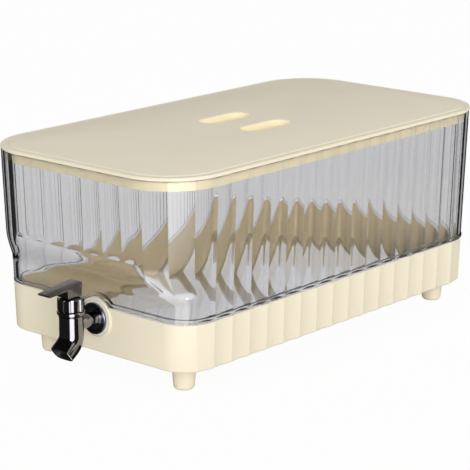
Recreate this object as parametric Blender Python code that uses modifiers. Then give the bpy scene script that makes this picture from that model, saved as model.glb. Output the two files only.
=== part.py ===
"""Fridge water jug with tap.

A clear fluted tank stands in an open frame on four feet. A lid with two finger wells plugs its mouth,
and a lever tap is clamped through the front walls of frame and tank.
Lengths are metres, +Z is up, the tap faces -Y and the feet stand on Z = 0. The origin is the middle
of the bounding box's floor. Heights named ..._Z are above the frame's underside.
"""

import math

import bmesh
import bpy
from mathutils import Matrix, Vector

# Driving dimensions of the jug
LID_LENGTH = 0.3276
LID_WIDTH = 0.1750
LID_CORNER = 0.0392
BODY_HEIGHT = 0.1250
FRAME_HEIGHT = 0.0311
FOOT_HEIGHT = 0.0173
DRAFT_SHARE = 0.037
GAP = 0.0003
OVERRUN = 0.004
MERGE_DISTANCE = 0.00001

# The front wall leans in between two heights, and is upright below
FRONT_INSET = 0.0150
FRONT_CORNER = 0.0220
KINK_TOP_Z = 0.0690
KINK_FOOT_Z = 0.0430
KINK_STEPS = 5

# Flutes all round, which fade out on the lower part of the front wall
FLUTE_PITCH = 0.0166
FLUTE_DEPTH = 0.0009
FLUTE_RUNOUT = 0.0040
CREASE_START = 9.3
CREASE_END = 10.9
CREASE_DIP = 0.0210
FLUTE_STEPS = 4
CORNER_STEPS = 8

# Lid
LID_EDGE = 0.0022
LID_EDGE_ROUND = 0.0009
LID_PLATE = 0.0022
PANEL_INSET = 0.0048
PANEL_ROUND = 0.0010
PANEL_RISE = 0.0006
SKIRT_DROP = 0.0066
SKIRT_WALL = 0.0018
WELL_LENGTH = 0.0440
WELL_WIDTH = 0.0170
WELL_SPACING = 0.0367
WELL_DEPTH = 0.0070
WELL_SLOPE = 0.0040
WELL_WALL = 0.0016
WELL_STEPS = 6

# Tank
TANK_WALL = 0.0022
TANK_FLOOR = 0.0023
LEDGE_HEIGHT = 0.0024
BAND_PROUD = 0.0001
BAND_SLOPE = 0.0012
FLOOR_ROUND = 0.0018

# Frame and feet
FRAME_WALL = 0.0021
FRAME_FLOOR = 0.0024
FLANGE_WIDTH = 0.0045
BAR_WIDTH = 0.0220
OPENING_ROUND = 0.0120
PAD_MARGIN = 0.0030
FRAME_FRONT_LEAN = 0.0009
FRAME_BOTTOM_ROUND = 0.0018
FOOT_TOP_RADIUS = 0.0080
FOOT_TIP_RADIUS = 0.0068
FOOT_TIP_ROUND = 0.0028
FOOT_INSET = 0.0235
FOOT_FRONT_INSET = 0.0217
SPIGOT_RADIUS = 0.0030
FOOT_SIDES = 20

# Boss on the frame, and the stack that the tap's shank clamps
TAP_X = 0.0050
TAP_Z = 0.0232
BOSS_RADIUS = 0.0133
BOSS_PROUD = 0.0012
BOSS_RECESS = 0.0016
OUTER_WASHER_RADIUS = 0.0116
OUTER_WASHER_THICKNESS = 0.0010
FLANGE_RADIUS = 0.0103
FLANGE_THICKNESS = 0.0018
FLANGE_DISH = 0.0007
FLANGE_RIM = 0.0010
SHANK_RADIUS = 0.0046
SHANK_BORE = 0.0026
SHANK_TAIL = 0.0026
INNER_WASHER_RADIUS = 0.0100
INNER_WASHER_THICKNESS = 0.0015
NUT_RADIUS = 0.0104
NUT_LENGTH = 0.0050

# Tap body: heights named ..._UP are above the shank's axis
TAP_REACH = 0.0205
BARREL_RADIUS = 0.00775
ELBOW_DROP = 0.0102
MOUTH_DROP = 0.0172
MOUTH_REACH = 0.0090
MOUTH_HALF_WIDTH = 0.00775
MOUTH_HALF_HEIGHT = 0.0055
MOUTH_SQUARENESS_SHARE = 0.40
MOUTH_RIM = 0.0013
OUTLET_BORE = 0.0042
SHOULDER_UP = 0.0072
BEAD_RADIUS = 0.0082
BEAD_HEIGHT = 0.0010
NECK_RADIUS = 0.0066
NECK_UP = 0.0148
CHAMBER_RADIUS = 0.0046
SEAT_DROP = 0.0056
SEAT_BORE = 0.0027
SEAL_LEDGE_UP = 0.0048
UPPER_BORE = 0.0056
TAP_SIDES = 32

# Trim ring, ribbed cap and what is under it
RING_RADIUS = 0.0090
RING_HEIGHT = 0.0024
RING_ROUND = 0.0007
CAP_RADIUS = 0.0086
CAP_GROOVE = 0.0006
CAP_RIBS = 12
RIB_HALF_SHARE = 0.24
GROOVE_HALF_SHARE = 0.17
CAP_HEIGHT = 0.0078
CAP_ROUND = 0.0005
CAP_ROOF = 0.0016
CAP_DOME_RADIUS = 0.0060
CAP_DOME_RISE = 0.0010
STEM_RADIUS = 0.0020
STEM_IN_PLUG = 0.0013
PLUG_RADIUS = 0.0039
PLUG_HEIGHT = 0.0024
PLUG_NOSE = 0.0008
SEAL_HEIGHT = 0.0016
COLLAR_RADIUS = 0.0038
COLLAR_HEIGHT = 0.0010
SPRING_WIRE = 0.0004
SPRING_RADIUS = 0.0032
SPRING_TURNS = 5
SPRING_TURN_POINTS = 10

# Lever, about its pin
PIN_UP = 0.0224
PIN_RADIUS = 0.0009
PIN_COVER = 0.0010
STEM_HEAD = 0.0019
LEVER_WIDTH = 0.0105
LEVER_REAR = 0.0051
LEVER_REACH = 0.0228
LEVER_REAR_TOP = 0.0057
LEVER_TIP_TOP = 0.0023
LEVER_TIP_THICKNESS = 0.0012
LEVER_ROOT_THICKNESS = 0.0020
BLOCK_FRONT = 0.0075
BLOCK_TOP = 0.0042
BLOCK_LEAN = 0.0006
SLOT_HALF_WIDTH = 0.0024
SLOT_HALF_LENGTH = 0.0036
LEVER_TIP_FLARE_SHARE = 0.05
LEVER_EDGE = 0.0004

# Places worked out from the sizes above
HALF_LENGTH = LID_LENGTH / 2
HALF_WIDTH = LID_WIDTH / 2
FRONT_WALL_Y = FRONT_INSET - HALF_LENGTH
BOSS_FACE_Y = FRONT_WALL_Y - BOSS_PROUD
RECESS_FLOOR_Y = BOSS_FACE_Y + BOSS_RECESS
FRAME_INSET = FLUTE_DEPTH + FRAME_WALL
FOOT_WALL_INSET = FRAME_INSET + GAP
FRAME_INSIDE_Y = FRONT_WALL_Y + FRAME_INSET
TANK_OUTSIDE_Y = FRONT_WALL_Y + FOOT_WALL_INSET
TANK_INSIDE_Y = TANK_OUTSIDE_Y + TANK_WALL
BARREL_Y = BOSS_FACE_Y - TAP_REACH
JUG_Y = (LEVER_REACH - BARREL_Y - HALF_LENGTH) / 2
QUARTER_LENGTH = HALF_LENGTH + HALF_WIDTH - LID_CORNER * (2 - math.pi / 2)
FLUTES_TO_END = round(QUARTER_LENGTH / FLUTE_PITCH)
SIDE_FLUTES = math.floor((HALF_LENGTH - LID_CORNER) / FLUTE_PITCH) + 1.5
RIM_Z = BODY_HEIGHT - LID_EDGE
TANK_TOP_Z = RIM_Z - GAP
LEDGE_Z = FRAME_HEIGHT + GAP
TANK_BOTTOM_Z = FRAME_FLOOR + GAP
TANK_FLOOR_Z = TANK_BOTTOM_Z + TANK_FLOOR
RING_UP = SHOULDER_UP + GAP
CAP_UP = RING_UP + RING_HEIGHT + GAP
CAP_TOP_UP = CAP_UP + CAP_HEIGHT
ROOF_UP = CAP_TOP_UP - CAP_ROOF
DOME_UP = CAP_TOP_UP + CAP_DOME_RISE
SEAL_UP = SEAL_LEDGE_UP + GAP
COLLAR_UP = SEAL_UP + SEAL_HEIGHT + GAP
PLUG_FOOT_UP = GAP - SEAT_DROP
BLOCK_BOTTOM = DOME_UP + GAP - PIN_UP

RIDGE_ANGLE = math.radians(15)
EDGE_ANGLE = math.radians(35)
CREAM = (0.83, 0.77, 0.62)
CLEAR_GREY = (0.74, 0.75, 0.80)
DARK_CHROME = (0.30, 0.29, 0.31)
BRUSHED_GREY = (0.42, 0.41, 0.42)
SILICONE = (0.78, 0.78, 0.76)
SPRING_STEEL = (0.62, 0.62, 0.63)
NUT_GREY = (0.20, 0.20, 0.21)


def clear_scene():
    for thing in list(bpy.data.objects):
        bpy.data.objects.remove(thing)


def new_collection(name):
    collection = bpy.data.collections.new(name)
    bpy.context.scene.collection.children.link(collection)
    return collection


def new_material(name, colour, roughness, metallic=0.0, transmission=0.0):
    made = bpy.data.materials.new(name)
    made.use_nodes = True
    shader = made.node_tree.nodes["Principled BSDF"]
    shader.inputs["Base Color"].default_value = (*colour, 1.0)
    shader.inputs["Roughness"].default_value = roughness
    shader.inputs["Metallic"].default_value = metallic
    shader.inputs["Transmission Weight"].default_value = transmission
    made.diffuse_color = (*colour, 1.0)
    return made


def new_frame(name, place, parent=None):
    frame = bpy.data.objects.new(name, None)
    frame.location = place
    frame.parent = parent
    parts.objects.link(frame)
    return frame


def new_part(name, mesh, material, frame, place=(0, 0, 0)):
    """A named piece of the jug, placed in the frame that carries it."""
    part = bpy.data.objects.new(name, mesh)
    part.data.materials.append(material)
    part.location = place
    part.parent = frame
    parts.objects.link(part)
    return part


def shape_part(part, mesh, frame, operation, place=(0, 0, 0)):
    """Cuts a part with a mesh, or joins the mesh to it."""
    tool = bpy.data.objects.new(f"{part.name}_{operation.lower()}_{len(cutters.objects)}", mesh)
    tool.location = place
    tool.parent = frame
    tool.hide_render = True
    tool.display_type = "WIRE"
    cutters.objects.link(tool)
    change = part.modifiers.new(tool.name, "BOOLEAN")
    change.operation = operation
    change.object = tool


def cut(part, mesh, frame, place=(0, 0, 0)):
    shape_part(part, mesh, frame, "DIFFERENCE", place)


def join(part, mesh, frame, place=(0, 0, 0)):
    shape_part(part, mesh, frame, "UNION", place)


def loft(name, rings):
    """A closed mesh through rings of points that all have the same count."""
    shape = bmesh.new()
    rows = [[shape.verts.new(point) for point in ring] for ring in rings]
    count = len(rows[0])
    for low, high in zip(rows, rows[1:]):
        for i in range(count):
            j = (i + 1) % count
            shape.faces.new((low[i], low[j], high[j], high[i]))
    shape.faces.new(list(reversed(rows[0])))
    shape.faces.new(rows[-1])
    bmesh.ops.recalc_face_normals(shape, faces=shape.faces)
    mesh = bpy.data.meshes.new(name)
    shape.to_mesh(mesh)
    shape.free()
    return mesh


def rod(name, radius, start, end, sides=TAP_SIDES):
    """A round bar between two points."""
    start = Vector(start)
    along = Vector(end) - start
    shape = bmesh.new()
    bmesh.ops.create_cone(
        shape, cap_ends=True, segments=sides, radius1=radius, radius2=radius, depth=along.length
    )
    turn = along.to_track_quat("Z", "Y").to_matrix().to_4x4()
    bmesh.ops.transform(shape, matrix=Matrix.Translation(start + along / 2) @ turn, verts=shape.verts)
    mesh = bpy.data.meshes.new(name)
    shape.to_mesh(mesh)
    shape.free()
    return mesh


def block(name, low, high):
    """A box between two corners."""
    rings = []
    for z in (low[2], high[2]):
        corners = ((low[0], low[1]), (high[0], low[1]), (high[0], high[1]), (low[0], high[1]))
        rings.append([Vector((x, y, z)) for x, y in corners])
    return loft(name, rings)


def smooth(part, angle=EDGE_ANGLE):
    part.data.shade_smooth()
    part.data.set_sharp_from_angle(angle=angle)


def turned(name, profile, material, frame, place=(0, 0, 0), sides=TAP_SIDES, closed=False):
    """A part turned about Z from points (radius, height) that run down its outer side."""
    count = len(profile)
    edges = [(i, i + 1) for i in range(count - 1)]
    if closed:
        edges.append((count - 1, 0))
    mesh = bpy.data.meshes.new(name)
    mesh.from_pydata([(radius, 0, height) for radius, height in profile], edges, [])
    part = new_part(name, mesh, material, frame, place)
    screw = part.modifiers.new("turn", "SCREW")
    screw.steps = sides
    screw.render_steps = sides
    screw.use_merge_vertices = True
    screw.merge_threshold = MERGE_DISTANCE
    screw.use_smooth_shade = False
    return part


def ring_part(name, outer, inner, bottom, top, material, frame):
    """A flat washer about Z."""
    profile = [(outer, top), (outer, bottom), (inner, bottom), (inner, top)]
    return turned(name, profile, material, frame, closed=True)


def side_inset(z):
    return DRAFT_SHARE * (BODY_HEIGHT - z)


def kink_share(z):
    """How far down the leaning part of the front wall a height lies, eased at both ends."""
    share = min(max((KINK_TOP_Z - z) / (KINK_TOP_Z - KINK_FOOT_Z), 0), 1)
    return share * share * (3 - 2 * share)


def front_flute_share(flute, z):
    """How deep the front's flutes still are. They end above the leaning part, and lower at a corner."""
    turn = min(max((flute - CREASE_START) / (CREASE_END - CREASE_START), 0), 1)
    crease = KINK_TOP_Z - CREASE_DIP * (1 - turn * turn)
    share = min(max((z - crease) / FLUTE_RUNOUT, 0), 1)
    return math.sin(share * math.pi / 2)


def front_inset(z):
    above = side_inset(max(z, KINK_TOP_Z))
    return above + (FRONT_INSET - above) * kink_share(z)


def front_radius(z):
    above = LID_CORNER - side_inset(max(z, KINK_TOP_Z))
    below = FRONT_CORNER - max(side_inset(z) - side_inset(FRAME_HEIGHT), 0)
    return above + (below - above) * kink_share(z)


def smooth_quarter(half_width, end, radius):
    """Points round one corner, from the end of a long side."""
    points = []
    for i in range(CORNER_STEPS + 1):
        angle = math.pi / 2 * i / CORNER_STEPS
        x = half_width - radius + radius * math.cos(angle)
        points.append((x, end - radius + radius * math.sin(angle)))
    return points


def fluted_quarter(half_width, end, radius, front_z=None):
    """Points from the middle of a long side to the middle of an end, a few for each flute."""
    turn_start = (end - radius) / FLUTE_PITCH
    turn_end = FLUTES_TO_END - (half_width - radius) / FLUTE_PITCH
    points = []
    for i in range(FLUTES_TO_END * FLUTE_STEPS + 1):
        flute = i / FLUTE_STEPS
        across = (flute + 0.5) % 1.0
        depth = FLUTE_DEPTH * (1 - (2 * across - 1) ** 2)
        if front_z is not None and flute > SIDE_FLUTES:
            depth *= front_flute_share(flute, front_z)
        turn = min(max((flute - turn_start) / (turn_end - turn_start), 0), 1)
        angle = turn * math.pi / 2
        past = max(flute - turn_end, 0) * FLUTE_PITCH
        x = half_width - radius + (radius - depth) * math.cos(angle) - past
        y = min(flute, turn_start) * FLUTE_PITCH + (radius - depth) * math.sin(angle)
        points.append((x, y))
    return points


def outline(z, inset=0.0, fluted=False, front_extra=0.0):
    """The jug's outline at a height, drawn in by an inset, as a ring of points."""
    half_width = HALF_WIDTH - side_inset(z) - inset
    back = HALF_LENGTH - side_inset(z) - inset
    back_radius = LID_CORNER - side_inset(z) - inset
    front = HALF_LENGTH - front_inset(z) - inset - front_extra
    if fluted:
        behind = fluted_quarter(half_width, back, back_radius)
        before = fluted_quarter(half_width, front, front_radius(z) - inset, z)
        right = [(x, -y) for x, y in reversed(before[1:])] + behind
        left = [(-x, y) for x, y in reversed(right[1:-1])]
    else:
        behind = smooth_quarter(half_width, back, back_radius)
        before = smooth_quarter(half_width, front, front_radius(z) - inset)
        right = [(x, -y) for x, y in reversed(before)] + behind
        left = [(-x, y) for x, y in reversed(right)]
    return [Vector((x, y, z)) for x, y in right + left]


def kink_levels():
    drop = KINK_TOP_Z - KINK_FOOT_Z
    return [KINK_TOP_Z - drop * i / KINK_STEPS for i in range(KINK_STEPS + 1)]


def shank_hole(name):
    """The hole that the tap's shank passes through, along Y."""
    radius = SHANK_RADIUS + GAP
    outside = (TAP_X, BOSS_FACE_Y - OVERRUN, TAP_Z)
    inside = (TAP_X, TANK_INSIDE_Y + OVERRUN, TAP_Z)
    return rod(name, radius, outside, inside)


def boss_hood():
    """The thick part of the tank's front wall behind the top of the boss."""
    radius = BOSS_RADIUS + GAP + TANK_WALL
    first = math.asin((LEDGE_Z + LEDGE_HEIGHT / 2 - TAP_Z) / radius)
    steps = TAP_SIDES // 2
    rings = []
    for y in (TANK_INSIDE_Y, FRONT_WALL_Y + FLUTE_DEPTH):
        angles = [first + (math.pi - 2 * first) * i / steps for i in range(steps + 1)]
        ring = [(TAP_X + radius * math.cos(a), y, TAP_Z + radius * math.sin(a)) for a in angles]
        rings.append([Vector(point) for point in ring])
    return loft("tank_hood", rings)


def build_tank(frame):
    runout = [KINK_TOP_Z + FLUTE_RUNOUT, KINK_TOP_Z + FLUTE_RUNOUT / 3]
    heights = [TANK_TOP_Z] + runout + kink_levels() + [LEDGE_Z + LEDGE_HEIGHT / 2]
    upper = [outline(z, fluted=True) for z in heights]
    tank = new_part("tank", loft("tank", upper), clear_plastic, frame)
    band = [outline(LEDGE_Z + LEDGE_HEIGHT, BAND_SLOPE)]
    band += [outline(z, -BAND_PROUD) for z in (LEDGE_Z + LEDGE_HEIGHT - BAND_SLOPE, LEDGE_Z)]
    join(tank, loft("tank_band", band), frame)
    foot = [
        outline(LEDGE_Z + LEDGE_HEIGHT / 2, FOOT_WALL_INSET),
        outline(TANK_BOTTOM_Z + FRAME_BOTTOM_ROUND, FOOT_WALL_INSET),
        outline(TANK_BOTTOM_Z, FOOT_WALL_INSET + FRAME_BOTTOM_ROUND),
    ]
    join(tank, loft("tank_foot", foot), frame)
    upper_inset = FLUTE_DEPTH + TANK_WALL
    lower_inset = FOOT_WALL_INSET + TANK_WALL
    inside = [outline(TANK_TOP_Z + OVERRUN, upper_inset)]
    inside += [outline(z, upper_inset) for z in [TANK_TOP_Z] + kink_levels()]
    inside += [outline(LEDGE_Z + LEDGE_HEIGHT, upper_inset)]
    inside += [outline(LEDGE_Z + LEDGE_HEIGHT, lower_inset)]
    inside += [outline(TANK_FLOOR_Z + FLOOR_ROUND, lower_inset)]
    inside += [outline(TANK_FLOOR_Z, lower_inset + FLOOR_ROUND)]
    cut(tank, loft("tank_inside", inside), frame)
    join(tank, boss_hood(), frame)
    notch_front = (TAP_X, BOSS_FACE_Y - OVERRUN, TAP_Z)
    notch_back = (TAP_X, TANK_OUTSIDE_Y, TAP_Z)
    cut(tank, rod("tank_notch", BOSS_RADIUS + GAP, notch_front, notch_back), frame)
    cut(tank, shank_hole("tank_hole"), frame)
    smooth(tank, RIDGE_ANGLE)


def foot_opening(half_width, low_y, high_y):
    """An opening with round corners through the frame's foot, between the cross bar and an end."""
    middle = (low_y + high_y) / 2
    quarter = smooth_quarter(half_width, (high_y - low_y) / 2, OPENING_ROUND)
    right = [(x, -y) for x, y in reversed(quarter)] + quarter
    ring = right + [(-x, y) for x, y in reversed(right)]
    levels = (FRAME_FLOOR + OVERRUN, -OVERRUN)
    return loft("foot_opening", [[Vector((x, y + middle, z)) for x, y in ring] for z in levels])


def build_frame(frame):
    lean = FRAME_FRONT_LEAN
    low = FRAME_BOTTOM_ROUND
    outside = [
        outline(FRAME_HEIGHT, fluted=True),
        outline(low, fluted=True, front_extra=lean),
        outline(low * (1 - math.sqrt(0.5)), low * (1 - math.sqrt(0.5)), True, lean),
        outline(0.0, low, True, lean),
    ]
    base = new_part("base_frame", loft("base_frame", outside), cream_plastic, frame)
    inside = [
        outline(FRAME_HEIGHT + OVERRUN, FRAME_INSET),
        outline(FRAME_FLOOR + low, FRAME_INSET),
        outline(FRAME_FLOOR, FRAME_INSET + low),
    ]
    cut(base, loft("frame_inside", inside), frame)
    half_width = HALF_WIDTH - side_inset(0.0)
    back = HALF_LENGTH - side_inset(0.0)
    front = HALF_LENGTH - FRONT_INSET - lean
    flange = FRAME_INSET + FLANGE_WIDTH
    pad = FOOT_INSET + FOOT_TOP_RADIUS + PAD_MARGIN
    middle = (back - front) / 2
    for sign, end in ((-1, front), (1, back)):
        bar = middle + sign * BAR_WIDTH / 2
        wide = sorted((bar, sign * (end - pad)))
        cut(base, foot_opening(half_width - flange, *wide), frame)
        narrow = sorted((bar + sign * OPENING_ROUND, sign * (end - flange)))
        low_corner = (pad - half_width, narrow[0], -OVERRUN)
        high_corner = (half_width - pad, narrow[1], FRAME_FLOOR + OVERRUN)
        cut(base, block("frame_opening", low_corner, high_corner), frame)
    boss = rod("frame_boss", BOSS_RADIUS, (TAP_X, BOSS_FACE_Y, TAP_Z), (TAP_X, FRAME_INSIDE_Y, TAP_Z))
    join(base, boss, frame)
    recess_front = (TAP_X, BOSS_FACE_Y - OVERRUN, TAP_Z)
    recess_back = (TAP_X, RECESS_FLOOR_Y, TAP_Z)
    recess_radius = OUTER_WASHER_RADIUS + GAP
    cut(base, rod("frame_recess", recess_radius, recess_front, recess_back), frame)
    cut(base, shank_hole("frame_hole"), frame)
    for x, y in foot_places().values():
        socket = rod("frame_socket", SPIGOT_RADIUS + GAP, (x, y, -OVERRUN), (x, y, FRAME_FLOOR + OVERRUN))
        cut(base, socket, frame)
    smooth(base, RIDGE_ANGLE)


def foot_places():
    across = HALF_WIDTH - side_inset(0.0) - FOOT_INSET
    back = HALF_LENGTH - side_inset(0.0) - FOOT_INSET
    front = HALF_LENGTH - FRONT_INSET - FRAME_FRONT_LEAN - FOOT_FRONT_INSET
    return {
        "foot_front_left": (-across, -front),
        "foot_front_right": (across, -front),
        "foot_back_left": (-across, back),
        "foot_back_right": (across, back),
    }


def build_feet(frame):
    """Each foot tapers to a rounded tip and has a spigot that fills its socket in the frame."""
    bottom = -FOOT_HEIGHT
    corner = FOOT_TIP_ROUND * (1 - math.sqrt(0.5))
    profile = [
        (0, FRAME_FLOOR),
        (SPIGOT_RADIUS, FRAME_FLOOR),
        (SPIGOT_RADIUS, -GAP),
        (FOOT_TOP_RADIUS, -GAP),
        (FOOT_TIP_RADIUS, bottom + FOOT_TIP_ROUND),
        (FOOT_TIP_RADIUS - corner, bottom + corner),
        (FOOT_TIP_RADIUS - FOOT_TIP_ROUND, bottom),
        (0, bottom),
    ]
    for name, (x, y) in foot_places().items():
        foot = turned(name, profile, cream_plastic, frame, (x, y, 0), FOOT_SIDES)
        smooth(foot)


def stadium(length, width, z):
    """A ring with round ends, long in Y."""
    radius = width / 2
    straight = length / 2 - radius
    ring = []
    for side, start in ((1, 0.0), (-1, math.pi)):
        for i in range(WELL_STEPS + 1):
            angle = start + math.pi * i / WELL_STEPS
            ring.append(Vector((radius * math.cos(angle), side * straight + radius * math.sin(angle), z)))
    return ring


def well(name, grow, bottom, top):
    """A well's shape, or that of the cup round it, between two heights."""
    middle = (top + bottom) / 2
    sizes = (
        (top, 0.0),
        (middle, WELL_SLOPE),
        (bottom, 2 * WELL_SLOPE),
    )
    rings = [stadium(WELL_LENGTH - d + 2 * grow, WELL_WIDTH - d + 2 * grow, z) for z, d in sizes]
    return loft(name, rings)


def build_lid(frame):
    skirt_inset = FLUTE_DEPTH + TANK_WALL + GAP + side_inset(TANK_TOP_Z)
    skirt_foot_z = RIM_Z - SKIRT_DROP
    top_z = BODY_HEIGHT + PANEL_RISE
    flat = BODY_HEIGHT

    def level(z, inset):
        return [Vector((p.x, p.y, z)) for p in outline(flat, inset)]

    skirt_foot_inset = skirt_inset + side_inset(skirt_foot_z)
    shell = [
        level(skirt_foot_z, skirt_foot_inset),
        level(RIM_Z, skirt_inset),
        level(RIM_Z, 0.0),
        level(BODY_HEIGHT - LID_EDGE_ROUND, 0.0),
        level(BODY_HEIGHT, LID_EDGE_ROUND),
        level(BODY_HEIGHT, PANEL_INSET),
        level(top_z, PANEL_INSET + PANEL_ROUND),
    ]
    lid = new_part("lid", loft("lid", shell), cream_plastic, frame)
    hollow_z = top_z - LID_PLATE
    hollow = [
        level(skirt_foot_z - OVERRUN, skirt_foot_inset + SKIRT_WALL),
        level(skirt_foot_z, skirt_foot_inset + SKIRT_WALL),
        level(hollow_z, skirt_inset + SKIRT_WALL),
    ]
    cut(lid, loft("lid_hollow", hollow), frame)
    for side in (-1, 1):
        place = (side * WELL_SPACING / 2, 0, 0)
        cup = well("lid_cup", WELL_WALL, top_z - WELL_DEPTH - WELL_WALL, top_z - LID_PLATE / 2)
        join(lid, cup, frame, place)
    for side in (-1, 1):
        place = (side * WELL_SPACING / 2, 0, 0)
        cut(lid, well("lid_well", 0.0, top_z - WELL_DEPTH, top_z), frame, place)
    smooth(lid)


def mouth_direction():
    return Vector((0, -MOUTH_REACH, ELBOW_DROP - MOUTH_DROP)).normalized()


def spout_ring(centre, up, half_width, half_height, squareness):
    """A ring about a centre, round when its squareness is 1 and boxy as that falls."""
    ring = []
    for i in range(TAP_SIDES):
        angle = 2 * math.pi * i / TAP_SIDES
        across = math.copysign(abs(math.cos(angle)) ** squareness, math.cos(angle))
        rise = math.copysign(abs(math.sin(angle)) ** squareness, math.sin(angle))
        ring.append(centre + Vector((half_width * across, 0, 0)) + up * (half_height * rise))
    return ring


def build_tap_body(frame):
    """Barrel, bent spout and shank. The shank's axis and the barrel's cross at the frame's origin."""
    spout = mouth_direction()
    bend = (Vector((0, 0, -1)) + spout).normalized()
    mitre = Vector((0, bend.z, -bend.y))
    mitre_half = BARREL_RADIUS / abs(mitre.y)
    mouth_up = Vector((0, spout.z, -spout.y))
    elbow = Vector((0, 0, -ELBOW_DROP))
    mouth = Vector((0, -MOUTH_REACH, -MOUTH_DROP))
    back = Vector((0, -1, 0))
    bead_low = SHOULDER_UP - BEAD_HEIGHT
    barrel = [
        spout_ring(Vector((0, 0, SHOULDER_UP)), back, BARREL_RADIUS, BARREL_RADIUS, 1),
        spout_ring(Vector((0, 0, SHOULDER_UP - BEAD_HEIGHT / 2)), back, BEAD_RADIUS, BEAD_RADIUS, 1),
        spout_ring(Vector((0, 0, bead_low)), back, BARREL_RADIUS, BARREL_RADIUS, 1),
        spout_ring(elbow, mitre, BARREL_RADIUS, mitre_half, 1),
        spout_ring(mouth, mouth_up, MOUTH_HALF_WIDTH, MOUTH_HALF_HEIGHT, 1 - MOUTH_SQUARENESS_SHARE),
    ]
    body = new_part("tap_body", loft("tap_body", barrel), dark_chrome, frame)
    neck = rod("tap_neck", NECK_RADIUS, (0, 0, 0), (0, 0, NECK_UP))
    join(body, neck, frame)
    shank_end = TANK_INSIDE_Y + 2 * GAP + INNER_WASHER_THICKNESS + NUT_LENGTH + SHANK_TAIL - BARREL_Y
    join(body, rod("tap_shank", SHANK_RADIUS, (0, 0, 0), (0, shank_end, 0)), frame)
    cut(body, rod("tap_chamber", CHAMBER_RADIUS, (0, 0, -SEAT_DROP), (0, 0, SEAL_LEDGE_UP)), frame)
    upper = rod("tap_upper_bore", UPPER_BORE, (0, 0, SEAL_LEDGE_UP), (0, 0, NECK_UP + OVERRUN))
    cut(body, upper, frame)
    cut(body, rod("tap_inlet", SHANK_BORE, (0, 0, 0), (0, shank_end + OVERRUN, 0)), frame)
    cut(body, rod("tap_seat", SEAT_BORE, (0, 0, -ELBOW_DROP), (0, 0, OVERRUN - SEAT_DROP)), frame)
    wide = MOUTH_HALF_WIDTH - MOUTH_RIM
    high = MOUTH_HALF_HEIGHT - MOUTH_RIM
    outlet = [
        spout_ring(elbow, mouth_up, OUTLET_BORE, OUTLET_BORE, 1),
        spout_ring(mouth, mouth_up, wide, high, 1 - MOUTH_SQUARENESS_SHARE),
        spout_ring(mouth + spout * OVERRUN, mouth_up, wide, high, 1 - MOUTH_SQUARENESS_SHARE),
    ]
    cut(body, loft("tap_outlet", outlet), frame)
    smooth(body)


def upright_to_shank(part):
    """Turns a part made about Z so that its top faces -Y, along the shank."""
    part.rotation_euler = (math.pi / 2, 0, 0)


def build_clamp_stack(frame):
    """The pieces on the shank, from the disc outside the boss to the nut inside the tank."""
    bore = SHANK_RADIUS + GAP
    washer_back = BARREL_Y - RECESS_FLOOR_Y + GAP
    washer_front = washer_back + OUTER_WASHER_THICKNESS
    outer = ring_part(
        "outer_washer", OUTER_WASHER_RADIUS, bore, washer_back, washer_front, silicone, frame
    )
    disc_back = washer_front + GAP
    disc_front = disc_back + FLANGE_THICKNESS
    disc_profile = [
        (FLANGE_RADIUS - FLANGE_RIM, disc_front),
        (FLANGE_RADIUS, disc_front - FLANGE_RIM / 2),
        (FLANGE_RADIUS, disc_back),
        (bore, disc_back),
        (bore, disc_front - FLANGE_DISH),
    ]
    disc = turned("flange_disc", disc_profile, brushed_chrome, frame, closed=True)
    inner_front = BARREL_Y - TANK_INSIDE_Y - GAP
    inner_back = inner_front - INNER_WASHER_THICKNESS
    inner = ring_part(
        "inner_washer", INNER_WASHER_RADIUS, bore, inner_back, inner_front, silicone, frame
    )
    nut_front = inner_back - GAP
    nut_back = nut_front - NUT_LENGTH
    nut_mesh = rod("back_nut", NUT_RADIUS, (0, 0, nut_back), (0, 0, nut_front), 6)
    nut = new_part("back_nut", nut_mesh, nut_plastic, frame)
    for part in (outer, disc, inner, nut):
        upright_to_shank(part)
    thread = rod("nut_bore", bore, (0, -nut_front - OVERRUN, 0), (0, -nut_back + OVERRUN, 0))
    cut(nut, thread, frame)
    for part in (outer, disc, inner):
        smooth(part)


def rib_ring(radius, groove, z):
    """A ring with ribs: two points on each rib and two in the groove after it."""
    corners = (
        (-RIB_HALF_SHARE, radius),
        (RIB_HALF_SHARE, radius),
        (0.5 - GROOVE_HALF_SHARE, radius - groove),
        (0.5 + GROOVE_HALF_SHARE, radius - groove),
    )
    ring = []
    for i in range(CAP_RIBS):
        for share, reach in corners:
            angle = 2 * math.pi * (i + 0.25 + share) / CAP_RIBS
            ring.append(Vector((reach * math.cos(angle), reach * math.sin(angle), z)))
    return ring


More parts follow.
